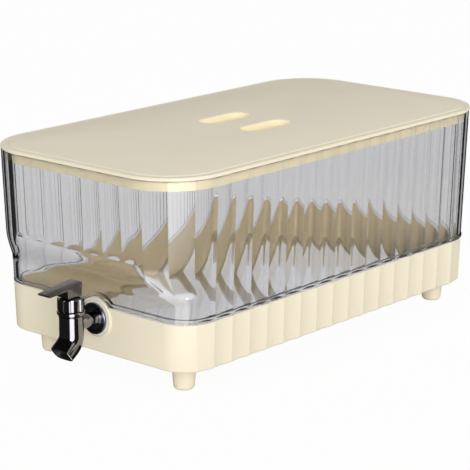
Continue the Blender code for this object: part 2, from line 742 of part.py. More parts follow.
def build_cap(frame):
    ring_top = RING_UP + RING_HEIGHT
    ring_inner = NECK_RADIUS + GAP
    ring_profile = [
        (RING_RADIUS - RING_ROUND, ring_top),
        (RING_RADIUS, ring_top - RING_ROUND),
        (RING_RADIUS, RING_UP + RING_ROUND),
        (RING_RADIUS - RING_ROUND, RING_UP),
        (ring_inner, RING_UP),
        (ring_inner, ring_top),
    ]
    smooth(turned("bonnet_ring", ring_profile, dark_chrome, frame, closed=True))
    low = CAP_RADIUS - CAP_ROUND
    rings = [
        rib_ring(low, CAP_GROOVE - CAP_ROUND / 2, CAP_UP),
        rib_ring(CAP_RADIUS, CAP_GROOVE, CAP_UP + CAP_ROUND),
        rib_ring(CAP_RADIUS, CAP_GROOVE, CAP_TOP_UP - CAP_ROUND),
        rib_ring(low, CAP_GROOVE - CAP_ROUND / 2, CAP_TOP_UP),
        rib_ring(CAP_DOME_RADIUS, 0.0, DOME_UP - CAP_DOME_RISE / 4),
        rib_ring(CAP_DOME_RADIUS / 2, 0.0, DOME_UP),
    ]
    cap = new_part("bonnet_cap", loft("bonnet_cap", rings), dark_chrome, frame)
    cut(cap, rod("cap_bore", NECK_RADIUS + GAP, (0, 0, CAP_UP - OVERRUN), (0, 0, ROOF_UP)), frame)
    cut(cap, rod("cap_hole", STEM_RADIUS + GAP, (0, 0, CAP_UP), (0, 0, DOME_UP + OVERRUN)), frame)
    smooth(cap)


def build_valve(frame):
    """Stem with its collar, the plug on its foot, the seal under the collar and the spring over it."""
    stem_foot = PLUG_FOOT_UP + PLUG_HEIGHT - STEM_IN_PLUG
    collar_top = COLLAR_UP + COLLAR_HEIGHT
    stem_profile = [
        (0, PIN_UP + STEM_HEAD),
        (STEM_RADIUS, PIN_UP + STEM_HEAD),
        (STEM_RADIUS, collar_top),
        (COLLAR_RADIUS, collar_top),
        (COLLAR_RADIUS, COLLAR_UP),
        (STEM_RADIUS, COLLAR_UP),
        (STEM_RADIUS, stem_foot),
        (0, stem_foot),
    ]
    stem = turned("valve_stem", stem_profile, dark_chrome, frame)
    hole_end = STEM_RADIUS + OVERRUN
    hole = rod("stem_hole", PIN_RADIUS + GAP, (-hole_end, 0, PIN_UP), (hole_end, 0, PIN_UP), FOOT_SIDES)
    cut(stem, hole, frame)
    smooth(stem)
    plug_top = PLUG_FOOT_UP + PLUG_HEIGHT
    socket = STEM_RADIUS + GAP
    socket_foot = stem_foot - GAP
    plug_profile = [
        (socket, plug_top),
        (PLUG_RADIUS, plug_top),
        (PLUG_RADIUS, PLUG_FOOT_UP + PLUG_NOSE),
        (PLUG_RADIUS - PLUG_NOSE, PLUG_FOOT_UP),
        (0, PLUG_FOOT_UP),
    ]
    plug_profile = [(0, socket_foot), (socket, socket_foot)] + plug_profile
    smooth(turned("valve_plug", plug_profile, silicone, frame))
    seal_top = SEAL_UP + SEAL_HEIGHT
    seal = ring_part(
        "stem_seal", UPPER_BORE - GAP, STEM_RADIUS + GAP, SEAL_UP, seal_top, silicone, frame
    )
    smooth(seal)
    build_spring(frame, collar_top + GAP + SPRING_WIRE, ROOF_UP - GAP - SPRING_WIRE)


def build_spring(frame, low, high):
    curve = bpy.data.curves.new("return_spring", "CURVE")
    curve.dimensions = "3D"
    curve.bevel_depth = SPRING_WIRE
    curve.bevel_resolution = 1
    curve.use_fill_caps = True
    spline = curve.splines.new("POLY")
    count = SPRING_TURNS * SPRING_TURN_POINTS
    spline.points.add(count)
    for i in range(count + 1):
        angle = 2 * math.pi * i / SPRING_TURN_POINTS
        height = low + (high - low) * i / count
        place = (SPRING_RADIUS * math.cos(angle), SPRING_RADIUS * math.sin(angle), height, 1)
        spline.points[i].co = place
    new_part("return_spring", curve, spring_steel, frame)


def lever_outline():
    """The lever from the side, as (forward, up) points about its pin."""
    root = BLOCK_TOP - LEVER_ROOT_THICKNESS
    return [
        (-LEVER_REAR, LEVER_REAR_TOP),
        (LEVER_REACH, LEVER_TIP_TOP),
        (LEVER_REACH, LEVER_TIP_TOP - LEVER_TIP_THICKNESS),
        (BLOCK_FRONT, root),
        (BLOCK_FRONT - BLOCK_LEAN, BLOCK_BOTTOM),
        (BLOCK_LEAN - LEVER_REAR, BLOCK_BOTTOM),
    ]


def build_lever(frame):
    pin_place = (0, 0, PIN_UP)
    hinge = new_frame("lever_hinge", pin_place, frame)
    curve = bpy.data.curves.new("lever_side", "CURVE")
    curve.dimensions = "2D"
    curve.fill_mode = "BOTH"
    curve.extrude = LEVER_WIDTH / 2
    spline = curve.splines.new("POLY")
    points = lever_outline()
    spline.points.add(len(points) - 1)
    for point, (forward, up) in zip(spline.points, points):
        point.co = (-forward, up, 0, 1)
    spline.use_cyclic_u = True
    side = bpy.data.objects.new("lever_side", curve)
    cutters.objects.link(side)
    evaluated = side.evaluated_get(bpy.context.evaluated_depsgraph_get())
    mesh = bpy.data.meshes.new_from_object(evaluated)
    bpy.data.objects.remove(side)
    shape = bmesh.new()
    shape.from_mesh(mesh)
    bmesh.ops.remove_doubles(shape, verts=shape.verts, dist=MERGE_DISTANCE)
    stand = Matrix(((0, 0, 1, 0), (1, 0, 0, 0), (0, 1, 0, 0), (0, 0, 0, 1)))
    bmesh.ops.transform(shape, matrix=stand, verts=shape.verts)
    for vert in shape.verts:
        share = max(-vert.co.y, 0) / LEVER_REACH
        vert.co.x *= 1 + LEVER_TIP_FLARE_SHARE * share
    bmesh.ops.recalc_face_normals(shape, faces=shape.faces)
    shape.to_mesh(mesh)
    shape.free()
    lever = new_part("lever", mesh, dark_chrome, hinge)
    bevel = lever.modifiers.new("edge", "BEVEL")
    bevel.width = LEVER_EDGE
    bevel.segments = 1
    slot_top = PIN_RADIUS + STEM_HEAD
    slot_low = (-SLOT_HALF_WIDTH, -SLOT_HALF_LENGTH, BLOCK_BOTTOM - OVERRUN)
    slot_high = (SLOT_HALF_WIDTH, SLOT_HALF_LENGTH, slot_top)
    cut(lever, block("lever_slot", slot_low, slot_high), hinge)
    open_end = -LEVER_WIDTH / 2
    blind_end = LEVER_WIDTH / 2 - PIN_COVER
    hole_start = (open_end - OVERRUN, 0, 0)
    hole_end = (blind_end, 0, 0)
    cut(lever, rod("lever_hole", PIN_RADIUS + GAP, hole_start, hole_end, FOOT_SIDES), hinge)
    pin_start = (open_end + GAP, 0, 0)
    pin_end = (blind_end - GAP, 0, 0)
    pin_mesh = rod("lever_pin", PIN_RADIUS, pin_start, pin_end, FOOT_SIDES)
    smooth(new_part("lever_pin", pin_mesh, spring_steel, hinge))


clear_scene()
parts = new_collection("fridge_water_jug")
cutters = new_collection("cutters")

cream_plastic = new_material("cream_plastic", CREAM, 0.42)
clear_plastic = new_material("clear_plastic", CLEAR_GREY, 0.05, transmission=1.0)
dark_chrome = new_material("dark_chrome", DARK_CHROME, 0.12, metallic=1.0)
brushed_chrome = new_material("brushed_chrome", BRUSHED_GREY, 0.32, metallic=1.0)
silicone = new_material("silicone", SILICONE, 0.55)
spring_steel = new_material("spring_steel", SPRING_STEEL, 0.30, metallic=1.0)
nut_plastic = new_material("nut_plastic", NUT_GREY, 0.50)

jug_frame = new_frame("jug_frame", (0, JUG_Y, FOOT_HEIGHT))
tap_frame = new_frame("tap_frame", (TAP_X, BARREL_Y, TAP_Z), jug_frame)

build_tank(jug_frame)
build_frame(jug_frame)
build_feet(jug_frame)
build_lid(jug_frame)
build_tap_body(tap_frame)
build_clamp_stack(tap_frame)
build_cap(tap_frame)
build_valve(tap_frame)
build_lever(tap_frame)
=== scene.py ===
import math

import bpy
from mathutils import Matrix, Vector


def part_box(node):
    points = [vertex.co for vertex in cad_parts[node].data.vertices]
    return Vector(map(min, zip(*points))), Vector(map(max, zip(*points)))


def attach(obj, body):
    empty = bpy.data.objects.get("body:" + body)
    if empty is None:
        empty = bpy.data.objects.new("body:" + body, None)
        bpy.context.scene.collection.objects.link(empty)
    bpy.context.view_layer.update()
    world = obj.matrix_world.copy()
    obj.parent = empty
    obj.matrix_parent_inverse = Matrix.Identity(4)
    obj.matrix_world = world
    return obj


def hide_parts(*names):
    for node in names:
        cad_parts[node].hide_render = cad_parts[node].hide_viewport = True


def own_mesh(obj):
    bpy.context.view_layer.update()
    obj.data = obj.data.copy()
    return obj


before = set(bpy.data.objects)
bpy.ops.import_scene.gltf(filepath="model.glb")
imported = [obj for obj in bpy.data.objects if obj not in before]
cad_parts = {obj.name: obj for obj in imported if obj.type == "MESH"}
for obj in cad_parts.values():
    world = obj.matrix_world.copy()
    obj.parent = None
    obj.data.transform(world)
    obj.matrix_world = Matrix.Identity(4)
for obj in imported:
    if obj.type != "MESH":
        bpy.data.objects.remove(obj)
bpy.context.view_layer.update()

scene = bpy.context.scene
scene.view_settings.view_transform = "Standard"


# Camera: a long lens that looks down a little on the tap's end and the long right side, level with
# the shelf.
JUG_Y = 0.01475
FOOT_HEIGHT = 0.0173
LENS_MM = 156.2
SENSOR_MM = 36.0
SEEN_DISTANCE = 20.0
VIEW_AZIMUTH = math.radians(41.3818)
VIEW_ELEVATION = math.radians(14.8441)
VIEW_DISTANCE = 1.38013
VIEW_TARGET = Vector((0.00226, -0.01313 + JUG_Y, 0.04961 + FOOT_HEIGHT))

camera = bpy.data.objects.new("camera", bpy.data.cameras.new("camera"))
scene.collection.objects.link(camera)
camera.data.lens = LENS_MM
camera.data.sensor_width = SENSOR_MM
camera.data.clip_end = SEEN_DISTANCE
level = math.cos(VIEW_ELEVATION)
to_camera = Vector((
    math.sin(VIEW_AZIMUTH) * level,
    -math.cos(VIEW_AZIMUTH) * level,
    math.sin(VIEW_ELEVATION),
))
camera.location = VIEW_TARGET + to_camera * VIEW_DISTANCE
camera.rotation_euler = to_camera.to_track_quat("Z", "Y").to_euler()
scene.camera = camera


# Floor and light: a white shelf in a white room, with one soft lamp low at the front right. Bright
# metal sees the room as a studio with dark boards, a white card at the lamp's side and a pale wall
# high up behind. What clear plastic mirrors within itself ends dimmer, and dark on the left board.
CARD_AZIMUTH = 52
CARD_HALF_WIDTH = 15
CARD_FADE = 9
CARD_GLOW = 3.4
BOARD_GLOW = 0.01
BACK_GLOW = 0.85
EDGE_GLOW = 0.02
FLOOR_MIRROR_GLOW = 0.9
MIRRORINGS = 2.0
DARK_AZIMUTH = -87
DARK_HALF_WIDTH = 17
DARK_FADE = 4
MIRRORED_SHARE = 0.97
SEEN_SHARE = 0.96
ROOM_GLOW_LOW = 0.86
ROOM_GLOW_HIGH = 0.56
ROOM_GLOW_RISE = 0.9
CEILING_START = 0.10
CEILING_END = 0.30
BACK_FADE = 0.15
LAMP_AZIMUTH = math.radians(52)
LAMP_ELEVATION = math.radians(16)
LAMP_DISTANCE = 6.0
LAMP_SIZE = 3.2
LAMP_WATTS = 194.0
LAMP_AIM_HEIGHT = 0.07
FLOOR_SIZE = 8.0
TAP_PLACE = (0.005, -0.156, 0.0)


def hex_linear(code):
    """The linear colour of an sRGB hex value."""
    shares = [int(code[i:i + 2], 16) / 255 for i in (1, 3, 5)]
    return (*[c / 12.92 if c <= 0.04045 else ((c + 0.055) / 1.055) ** 2.4 for c in shares], 1.0)


def add_node(tree, kind, settings=None, values=None, links=None):
    """Adds a node with its settings, its sockets' values and its links from other nodes' sockets."""
    node = tree.nodes.new(kind)
    for name, value in (settings or {}).items():
        setattr(node, name, value)
    for name, value in (values or {}).items():
        node.inputs[name].default_value = value
    for name, source in (links or {}).items():
        tree.links.new(source, node.inputs[name])
    return node


def board_glow(tree, place, azimuth, half_width, fade, glow, glow_beside):
    """How bright an upright board and what is beside it are, by a place's direction from the tap."""
    parts = add_node(tree, "ShaderNodeSeparateXYZ", links={0: place})
    turned = add_node(tree, "ShaderNodeMath", {"operation": "MULTIPLY"}, {1: -1.0}, {
        0: parts.outputs["Y"]})
    way = add_node(tree, "ShaderNodeMath", {"operation": "ARCTAN2"}, links={
        0: parts.outputs["X"], 1: turned.outputs[0]})
    offset = add_node(tree, "ShaderNodeMath", {"operation": "SUBTRACT"}, {
        1: math.radians(azimuth)}, {0: way.outputs[0]})
    offset = add_node(tree, "ShaderNodeMath", {"operation": "ABSOLUTE"}, links={0: offset.outputs[0]})
    return add_node(tree, "ShaderNodeMapRange", {"interpolation_type": "SMOOTHSTEP"}, {
        "From Min": math.radians(half_width), "From Max": math.radians(half_width + fade),
        "To Min": glow, "To Max": glow_beside}, {"Value": offset.outputs[0]}).outputs["Result"]


def card_glow(tree, place):
    """How bright the white card and the dark boards beside it are."""
    return board_glow(tree, place, CARD_AZIMUTH, CARD_HALF_WIDTH, CARD_FADE, CARD_GLOW, BOARD_GLOW)


def light_left(tree, path, mirrored_glow, place=None):
    """The light at the end of a way in clear plastic: less by each mirroring and on the left board."""
    kept = add_node(tree, "ShaderNodeMapRange", values={
        "From Min": 0.0, "From Max": MIRRORINGS, "To Min": 1.0, "To Max": mirrored_glow}, links={
        "Value": path.outputs["Glossy Depth"]}).outputs["Result"]
    if place:
        straight = add_node(tree, "ShaderNodeMath", {"operation": "LESS_THAN"}, {1: 0.5}, {
            0: path.outputs["Glossy Depth"]})
        board = board_glow(tree, place, DARK_AZIMUTH, DARK_HALF_WIDTH, DARK_FADE, mirrored_glow, 1.0)
        shade = add_node(tree, "ShaderNodeMath", {"operation": "MAXIMUM"}, links={
            0: straight.outputs[0], 1: board})
        kept = add_node(tree, "ShaderNodeMath", {"operation": "MINIMUM"}, links={
            0: kept, 1: shade.outputs[0]}).outputs[0]
    scattered = add_node(tree, "ShaderNodeMath", {"operation": "GREATER_THAN"}, {1: 0.5}, {
        0: path.outputs["Diffuse Depth"]})
    return add_node(tree, "ShaderNodeMath", {"operation": "MAXIMUM"}, links={
        0: kept, 1: scattered.outputs[0]}).outputs[0]


floor_paint = bpy.data.materials.new("white_floor_paint")
floor_paint.use_nodes = True
tree = floor_paint.node_tree
tree.nodes.clear()
path = add_node(tree, "ShaderNodeLightPath")
where = add_node(tree, "ShaderNodeNewGeometry")
beside = add_node(tree, "ShaderNodeVectorMath", {"operation": "SUBTRACT"}, {
    1: TAP_PLACE}, {0: where.outputs["Position"]})
matt = add_node(tree, "ShaderNodeBsdfDiffuse", values={"Color": hex_linear("#F7F6F4")})
glow = add_node(tree, "ShaderNodeEmission", values={"Color": (1, 1, 1, 1)}, links={
    "Strength": light_left(tree, path, EDGE_GLOW, beside.outputs[0])})
cards = add_node(tree, "ShaderNodeEmission", values={"Color": (1, 1, 1, 1)}, links={
    "Strength": card_glow(tree, beside.outputs[0])})
seen = add_node(tree, "ShaderNodeMath", {"operation": "MAXIMUM"}, links={
    0: path.outputs["Is Camera Ray"], 1: path.outputs["Is Transmission Ray"]})
mirrored = add_node(tree, "ShaderNodeMath", {"operation": "MULTIPLY"}, {1: MIRRORED_SHARE}, {
    0: path.outputs["Is Glossy Ray"]})
mixed = add_node(tree, "ShaderNodeMixShader", links={
    0: mirrored.outputs[0], 1: matt.outputs[0], 2: cards.outputs[0]})
share = add_node(tree, "ShaderNodeMath", {"operation": "MULTIPLY"}, {1: SEEN_SHARE}, {
    0: seen.outputs[0]})
mixed = add_node(tree, "ShaderNodeMixShader", links={
    0: share.outputs[0], 1: mixed.outputs[0], 2: glow.outputs[0]})
add_node(tree, "ShaderNodeOutputMaterial", links={"Surface": mixed.outputs[0]})
bpy.ops.mesh.primitive_plane_add(size=FLOOR_SIZE)
floor = bpy.context.object
floor.name = "floor"
floor.data.materials.append(floor_paint)

world = bpy.data.worlds.new("white_room")
world.use_nodes = True
scene.world = world
tree = world.node_tree
tree.nodes.clear()
path = add_node(tree, "ShaderNodeLightPath")
way = add_node(tree, "ShaderNodeTexCoord")
height = add_node(tree, "ShaderNodeSeparateXYZ", links={0: way.outputs["Generated"]})
dimmer = add_node(tree, "ShaderNodeMapRange", values={
    "From Min": 0.0, "From Max": ROOM_GLOW_RISE, "To Min": ROOM_GLOW_LOW,
    "To Max": ROOM_GLOW_HIGH}, links={"Value": height.outputs["Z"]})
warmth = add_node(tree, "ShaderNodeMix", {"data_type": "RGBA"}, {
    6: hex_linear("#FFFBEF"), 7: hex_linear("#FFFFFF")}, {0: height.outputs["Z"]})
room = add_node(tree, "ShaderNodeBackground", links={
    "Color": warmth.outputs[2], "Strength": dimmer.outputs["Result"]})
ceiling = add_node(tree, "ShaderNodeMapRange", {"interpolation_type": "SMOOTHSTEP"}, {
    "From Min": CEILING_START, "From Max": CEILING_END, "To Min": 0.0, "To Max": 1.0}, {
    "Value": height.outputs["Z"]})
behind = add_node(tree, "ShaderNodeMapRange", {"interpolation_type": "SMOOTHSTEP"}, {
    "From Min": 0.0, "From Max": BACK_FADE, "To Min": BOARD_GLOW, "To Max": BACK_GLOW}, {
    "Value": height.outputs["Y"]})
mirror_glow = add_node(tree, "ShaderNodeMix", {"data_type": "FLOAT"}, links={
    0: ceiling.outputs["Result"], 2: card_glow(tree, way.outputs["Generated"]),
    3: behind.outputs["Result"]})
mirror = add_node(tree, "ShaderNodeBackground", values={"Color": (1, 1, 1, 1)}, links={
    "Strength": mirror_glow.outputs[0]})
white = add_node(tree, "ShaderNodeBackground", values={"Color": (1, 1, 1, 1)}, links={
    "Strength": light_left(tree, path, FLOOR_MIRROR_GLOW)})
mixed = add_node(tree, "ShaderNodeMixShader", links={
    0: path.outputs["Is Glossy Ray"], 1: room.outputs[0], 2: mirror.outputs[0]})
seen = add_node(tree, "ShaderNodeMath", {"operation": "MAXIMUM"}, links={
    0: path.outputs["Is Camera Ray"], 1: path.outputs["Is Transmission Ray"]})
mixed = add_node(tree, "ShaderNodeMixShader", links={
    0: seen.outputs[0], 1: mixed.outputs[0], 2: white.outputs[0]})
add_node(tree, "ShaderNodeOutputWorld", links={"Surface": mixed.outputs[0]})

lamp = bpy.data.objects.new("key_lamp", bpy.data.lights.new("key_lamp", "AREA"))
scene.collection.objects.link(lamp)
to_lamp = Vector((math.sin(LAMP_AZIMUTH) * math.cos(LAMP_ELEVATION),
                  -math.cos(LAMP_AZIMUTH) * math.cos(LAMP_ELEVATION), math.sin(LAMP_ELEVATION)))
lamp.location = Vector((0.0, 0.0, LAMP_AIM_HEIGHT)) + to_lamp * LAMP_DISTANCE
lamp.rotation_euler = to_lamp.to_track_quat("Z", "Y").to_euler()
lamp.data.size = LAMP_SIZE
lamp.data.energy = LAMP_WATTS


# Base frame: one moulding of cream ABS, fluted outside, that the tank stands in. It is open
# underneath, with a narrow flange at its foot and a pad for each foot, and its boss holds the tap.
LENGTH = 0.3276
WIDTH = 0.1750
CORNER = 0.0392
BODY_HEIGHT = 0.1250
FRAME_HEIGHT = 0.0311
DRAFT_SHARE = 0.037
FRONT_INSET = 0.0150
FRONT_CORNER = 0.0220
KINK_TOP = 0.0690
KINK_FOOT = 0.0430
FLUTE_PITCH = 0.0166
FLUTE_DEPTH = 0.0009
FLUTE_RUNOUT = 0.0040
CREASE_START = 9.3
CREASE_END = 10.9
CREASE_DIP = 0.0210
FLUTES_TO_END = 14
SIDE_FLUTES = 8.5
FLUTE_STEPS = 12
CORNER_STEPS = 32
FRAME_WALL = 0.0021
FRAME_FLOOR = 0.0024
FRAME_LEAN = 0.0009
FRAME_ROUND = 0.0018
FRAME_LIP_ROUND = 0.0004
FLANGE_WIDTH = 0.0045
BAR_WIDTH = 0.0220
OPENING_ROUND = 0.0120
PAD_REACH = 0.0345
TAP_X = 0.0050
TAP_Z = 0.0232
BOSS_RADIUS = 0.0133
BOSS_PROUD = 0.0012
RECESS_RADIUS = 0.0119
RECESS_DEPTH = 0.0016
SHANK_HOLE = 0.0049
GAP = 0.0003
OVERRUN = 0.004
OPENING_OVERRUN = 0.006
HOLE_REACH = 0.01
SHARP_SHARE = 0.1
ROUND_STEPS = 5
EDGE_BEVEL = 0.0003
WELD_DISTANCE = 0.000001
FACE_SLACK = 0.0002
FACES_INWARD = 0.02
FACES_UP = 0.9
WALL_Y = FRONT_INSET - LENGTH / 2 + JUG_Y
FRAME_INSET = FLUTE_DEPTH + FRAME_WALL


def side_inset(z):
    """How far the moulding's draft draws the long sides in at a height."""
    return DRAFT_SHARE * (BODY_HEIGHT - z)


def kink_share(z):
    """How far down the leaning part of the front wall a height lies."""
    share = min(max((KINK_TOP - z) / (KINK_TOP - KINK_FOOT), 0), 1)
    return share * share * (3 - 2 * share)


def front_flute_share(flute, z):
    """How deep the front's flutes still are. They end above the leaning part, and lower at a corner."""
    turn = min(max((flute - CREASE_START) / (CREASE_END - CREASE_START), 0), 1)
    crease = KINK_TOP - CREASE_DIP * (1 - turn * turn)
    share = min(max((z - crease) / FLUTE_RUNOUT, 0), 1)
    return math.sin(share * math.pi / 2)


def fluted_quarter(half_width, end, radius, front_z=None):
    """Points from the middle of a long side to the middle of an end, over shallow sharp flutes."""
    turn_start = (end - radius) / FLUTE_PITCH
    turn_end = FLUTES_TO_END - (half_width - radius) / FLUTE_PITCH
    points = []
    for i in range(FLUTES_TO_END * FLUTE_STEPS + 1):
        flute = i / FLUTE_STEPS
        across = (flute + 0.5) % 1.0
        depth = FLUTE_DEPTH * (1 - (2 * across - 1) ** 2)
        if front_z is not None and flute > SIDE_FLUTES:
            depth *= front_flute_share(flute, front_z)
        turn = min(max((flute - turn_start) / (turn_end - turn_start), 0), 1)
        angle = turn * math.pi / 2
        past = max(flute - turn_end, 0) * FLUTE_PITCH
        points.append((half_width - radius + (radius - depth) * math.cos(angle) - past,
                       min(flute, turn_start) * FLUTE_PITCH + (radius - depth) * math.sin(angle)))
    return points


def quarter_turns(steps):
    """The angles of a quarter turn, in equal steps."""
    return [math.pi / 2 * i / steps for i in range(steps + 1)]


def smooth_quarter(half_width, end, radius):
    """Points round one corner, from the end of a long side."""
    return [(half_width - radius + radius * math.cos(a), end - radius + radius * math.sin(a))
            for a in quarter_turns(CORNER_STEPS)]


def wall_ring(z, inset=0.0, fluted=False, lean=0.0, level=None):
    """The jug's outline at a height, drawn in by an inset, set at that height or another level."""
    side = side_inset(z)
    above = side_inset(max(z, KINK_TOP))
    share = kink_share(z)
    front = LENGTH / 2 - above - (FRONT_INSET - above) * share - inset - lean
    low_corner = FRONT_CORNER - max(side - side_inset(FRAME_HEIGHT), 0)
    front_radius = CORNER - above + (low_corner - CORNER + above) * share - inset
    half_width = WIDTH / 2 - side - inset
    back = LENGTH / 2 - side - inset
    if fluted:
        behind = fluted_quarter(half_width, back, CORNER - side - inset)
        before = fluted_quarter(half_width, front, front_radius, z)
        right = [(x, -y) for x, y in reversed(before[1:])] + behind
        left = [(-x, y) for x, y in reversed(right[1:-1])]
    else:
        behind = smooth_quarter(half_width, back, CORNER - side - inset)
        right = [(x, -y) for x, y in reversed(smooth_quarter(half_width, front, front_radius))] + behind
        left = [(-x, y) for x, y in reversed(right)]
    height = (z if level is None else level) + FOOT_HEIGHT
    return [(x, y + JUG_Y, height) for x, y in right + left]


def rounded_foot(bottom, inset, radius, fluted=False, lean=0.0):
    """Rings that round a wall's lower edge inward, from its tangent down to the flat."""
    return [wall_ring(bottom + radius * (1 - math.sin(a)), inset + radius * (1 - math.cos(a)), fluted,
                      lean) for a in quarter_turns(ROUND_STEPS)]


def wrapped_sheet(name, rings):
    """A grid wrapped round rings of points, with its open ends filled flat."""
    bpy.ops.object.select_all(action="DESELECT")
    bpy.ops.mesh.primitive_grid_add(x_subdivisions=len(rings[0]), y_subdivisions=len(rings) - 1)
    piece = bpy.context.object
    piece.name = name
    places = [point for ring in rings for point in (*ring, ring[0])]
    piece.data.vertices.foreach_set("co", [value for point in places for value in point])
    bpy.ops.object.mode_set(mode="EDIT")
    bpy.ops.mesh.select_all(action="SELECT")
    bpy.ops.mesh.remove_doubles(threshold=WELD_DISTANCE)
    bpy.ops.mesh.fill_holes(sides=0)
    bpy.ops.mesh.normals_make_consistent(inside=False)
    bpy.ops.object.mode_set(mode="OBJECT")
    return piece


def bar_along_y(name, radius, start_y, end_y, x=TAP_X, z=TAP_Z + FOOT_HEIGHT, sides=64):
    """A round bar that lies along Y between two places."""
    bpy.ops.object.select_all(action="DESELECT")
    bpy.ops.mesh.primitive_cylinder_add(
        vertices=sides, radius=radius, depth=end_y - start_y,
        location=(x, (start_y + end_y) / 2, z), rotation=(math.pi / 2, 0, 0))
    bar = bpy.context.object
    bar.name = name
    bpy.ops.object.transform_apply(location=True, rotation=True, scale=True)
    return bar


def upright_rod(radius, foot, top, base, sides=64):
    """A round rod that stands upright between two heights over a base."""
    bpy.ops.object.select_all(action="DESELECT")
    bpy.ops.mesh.primitive_cylinder_add(
        vertices=sides, radius=radius, depth=top - foot,
        location=base + Vector((0, 0, (foot + top) / 2)))
    return bpy.context.object


def apply_modifier(piece, kind, **settings):
    """Puts one modifier on a piece and applies it."""
    bpy.ops.object.select_all(action="DESELECT")
    bpy.context.view_layer.objects.active = piece
    piece.select_set(True)
    modifier = piece.modifiers.new(kind.lower(), kind)
    for name, value in settings.items():
        setattr(modifier, name, value)
    bpy.ops.object.modifier_apply(modifier=modifier.name)


def carve(piece, tool, operation="DIFFERENCE"):
    """Cuts a piece with a tool, or joins the tool to it, and removes the tool."""
    apply_modifier(piece, "BOOLEAN", operation=operation, object=tool, solver="EXACT")
    bpy.data.objects.remove(tool)


def finish_piece(piece, material, body, nodes, smooth=25):
    """Shades a piece, gives it its material, hangs it on the body it rides on and hides the parts it
    stands for.
    """
    bpy.ops.object.select_all(action="DESELECT")
    bpy.context.view_layer.objects.active = piece
    piece.select_set(True)
    bpy.ops.object.transform_apply(location=True, rotation=True, scale=True)
    bpy.ops.object.shade_smooth_by_angle(angle=math.radians(smooth))
    piece.data.materials.clear()
    piece.data.materials.append(material)
    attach(piece, body)
    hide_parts(*nodes)


def new_material(name):
    """A new material, its node tree and its surface shader."""
    material = bpy.data.materials.new(name)
    material.use_nodes = True
    return material, material.node_tree, material.node_tree.nodes["Principled BSDF"]


def toned_copy(material, name, first_tone, second_tone):
    """A copy of a clouded material in two other tones."""
    copy = material.copy()
    copy.name = name
    tone = next(node for node in copy.node_tree.nodes if node.bl_idname == "ShaderNodeMix")
    tone.inputs[6].default_value = hex_linear(first_tone)
    tone.inputs[7].default_value = hex_linear(second_tone)
    return copy


# Cream ABS, moulded against a lightly blasted tool: an even satin skin with faint flow clouding.
cream_abs, tree, shader = new_material("cream_moulded_abs")
CLOUD_SIZE = 0.030
GRAIN_SIZE = 0.0009
where = add_node(tree, "ShaderNodeTexCoord")
clouds = add_node(tree, "ShaderNodeTexNoise", values={"Scale": 1 / CLOUD_SIZE, "Detail": 2.0}, links={
    "Vector": where.outputs["Object"]})
tone = add_node(tree, "ShaderNodeMix", {"data_type": "RGBA"}, {
    6: hex_linear("#EBE2CC"), 7: hex_linear("#EFE7D3")}, {0: clouds.outputs["Fac"]})
grain = add_node(tree, "ShaderNodeTexNoise", values={"Scale": 1 / GRAIN_SIZE, "Detail": 2.0}, links={
    "Vector": where.outputs["Object"]})
gloss = add_node(tree, "ShaderNodeMapRange", values={"To Min": 0.44, "To Max": 0.54}, links={
    "Value": grain.outputs["Fac"]})
bump = add_node(tree, "ShaderNodeBump", values={"Strength": 0.04, "Distance": 0.0002}, links={
    "Height": grain.outputs["Fac"]})
tree.links.new(tone.outputs[2], shader.inputs["Base Color"])
tree.links.new(gloss.outputs["Result"], shader.inputs["Roughness"])
tree.links.new(bump.outputs["Normal"], shader.inputs["Normal"])
shader.inputs["IOR"].default_value = 1.53

# The frame's inside faces are the same cream ABS in a deeper, warmer tone: painted shade for the dim
# inside of the frame.
painted_shade_inner_abs = toned_copy(cream_abs, "cream_abs_painted_inner_shade", "#E8D3A4", "#EDDAAF")

outer = [wall_ring(FRAME_HEIGHT, FRAME_LIP_ROUND, True),
         wall_ring(FRAME_HEIGHT - FRAME_LIP_ROUND, 0.0, True)]
outer += rounded_foot(0.0, 0.0, FRAME_ROUND, True, FRAME_LEAN)
base_frame = wrapped_sheet("base_frame_moulding", outer)
hollow = [wall_ring(FRAME_HEIGHT + OVERRUN, FRAME_INSET)]
hollow += rounded_foot(FRAME_FLOOR, FRAME_INSET, FRAME_ROUND)
carve(base_frame, wrapped_sheet("frame_hollow", hollow))
half_width = WIDTH / 2 - side_inset(0.0)
back_y = LENGTH / 2 - side_inset(0.0) + JUG_Y
front_y = FRONT_INSET + FRAME_LEAN - LENGTH / 2 + JUG_Y
flange = FRAME_INSET + FLANGE_WIDTH
for sign, end_y in ((-1, front_y), (1, back_y)):
    bar_y = (front_y + back_y) / 2 + sign * BAR_WIDTH / 2
    for half, reach, round_share in (
            (half_width - flange, PAD_REACH, 1.0), (half_width - PAD_REACH, flange, SHARP_SHARE)):
        start_y = bar_y + sign * OPENING_ROUND * (1.0 - round_share)
        stop_y = end_y - sign * reach
        quarter = smooth_quarter(half, abs(stop_y - start_y) / 2, OPENING_ROUND * round_share)
        right = [(x, -y) for x, y in reversed(quarter)] + quarter
        ring = right + [(-x, y) for x, y in reversed(right)]
        levels = (FOOT_HEIGHT + OPENING_OVERRUN, FOOT_HEIGHT - OPENING_OVERRUN)
        carve(base_frame, wrapped_sheet("frame_opening", [
            [(x, y + (start_y + stop_y) / 2, z) for x, y in ring] for z in levels]))
boss = bar_along_y("frame_boss", BOSS_RADIUS, WALL_Y - BOSS_PROUD, WALL_Y + FRAME_INSET)
apply_modifier(boss, "BEVEL", width=EDGE_BEVEL, segments=3, limit_method="ANGLE")
carve(base_frame, boss, "UNION")
carve(base_frame, bar_along_y(
    "frame_recess", RECESS_RADIUS, WALL_Y - BOSS_PROUD - OVERRUN, WALL_Y - BOSS_PROUD + RECESS_DEPTH))
carve(base_frame, bar_along_y("frame_hole", SHANK_HOLE, WALL_Y - HOLE_REACH, WALL_Y + HOLE_REACH))
finish_piece(base_frame, cream_abs, "jug", ["base_frame"], 14)
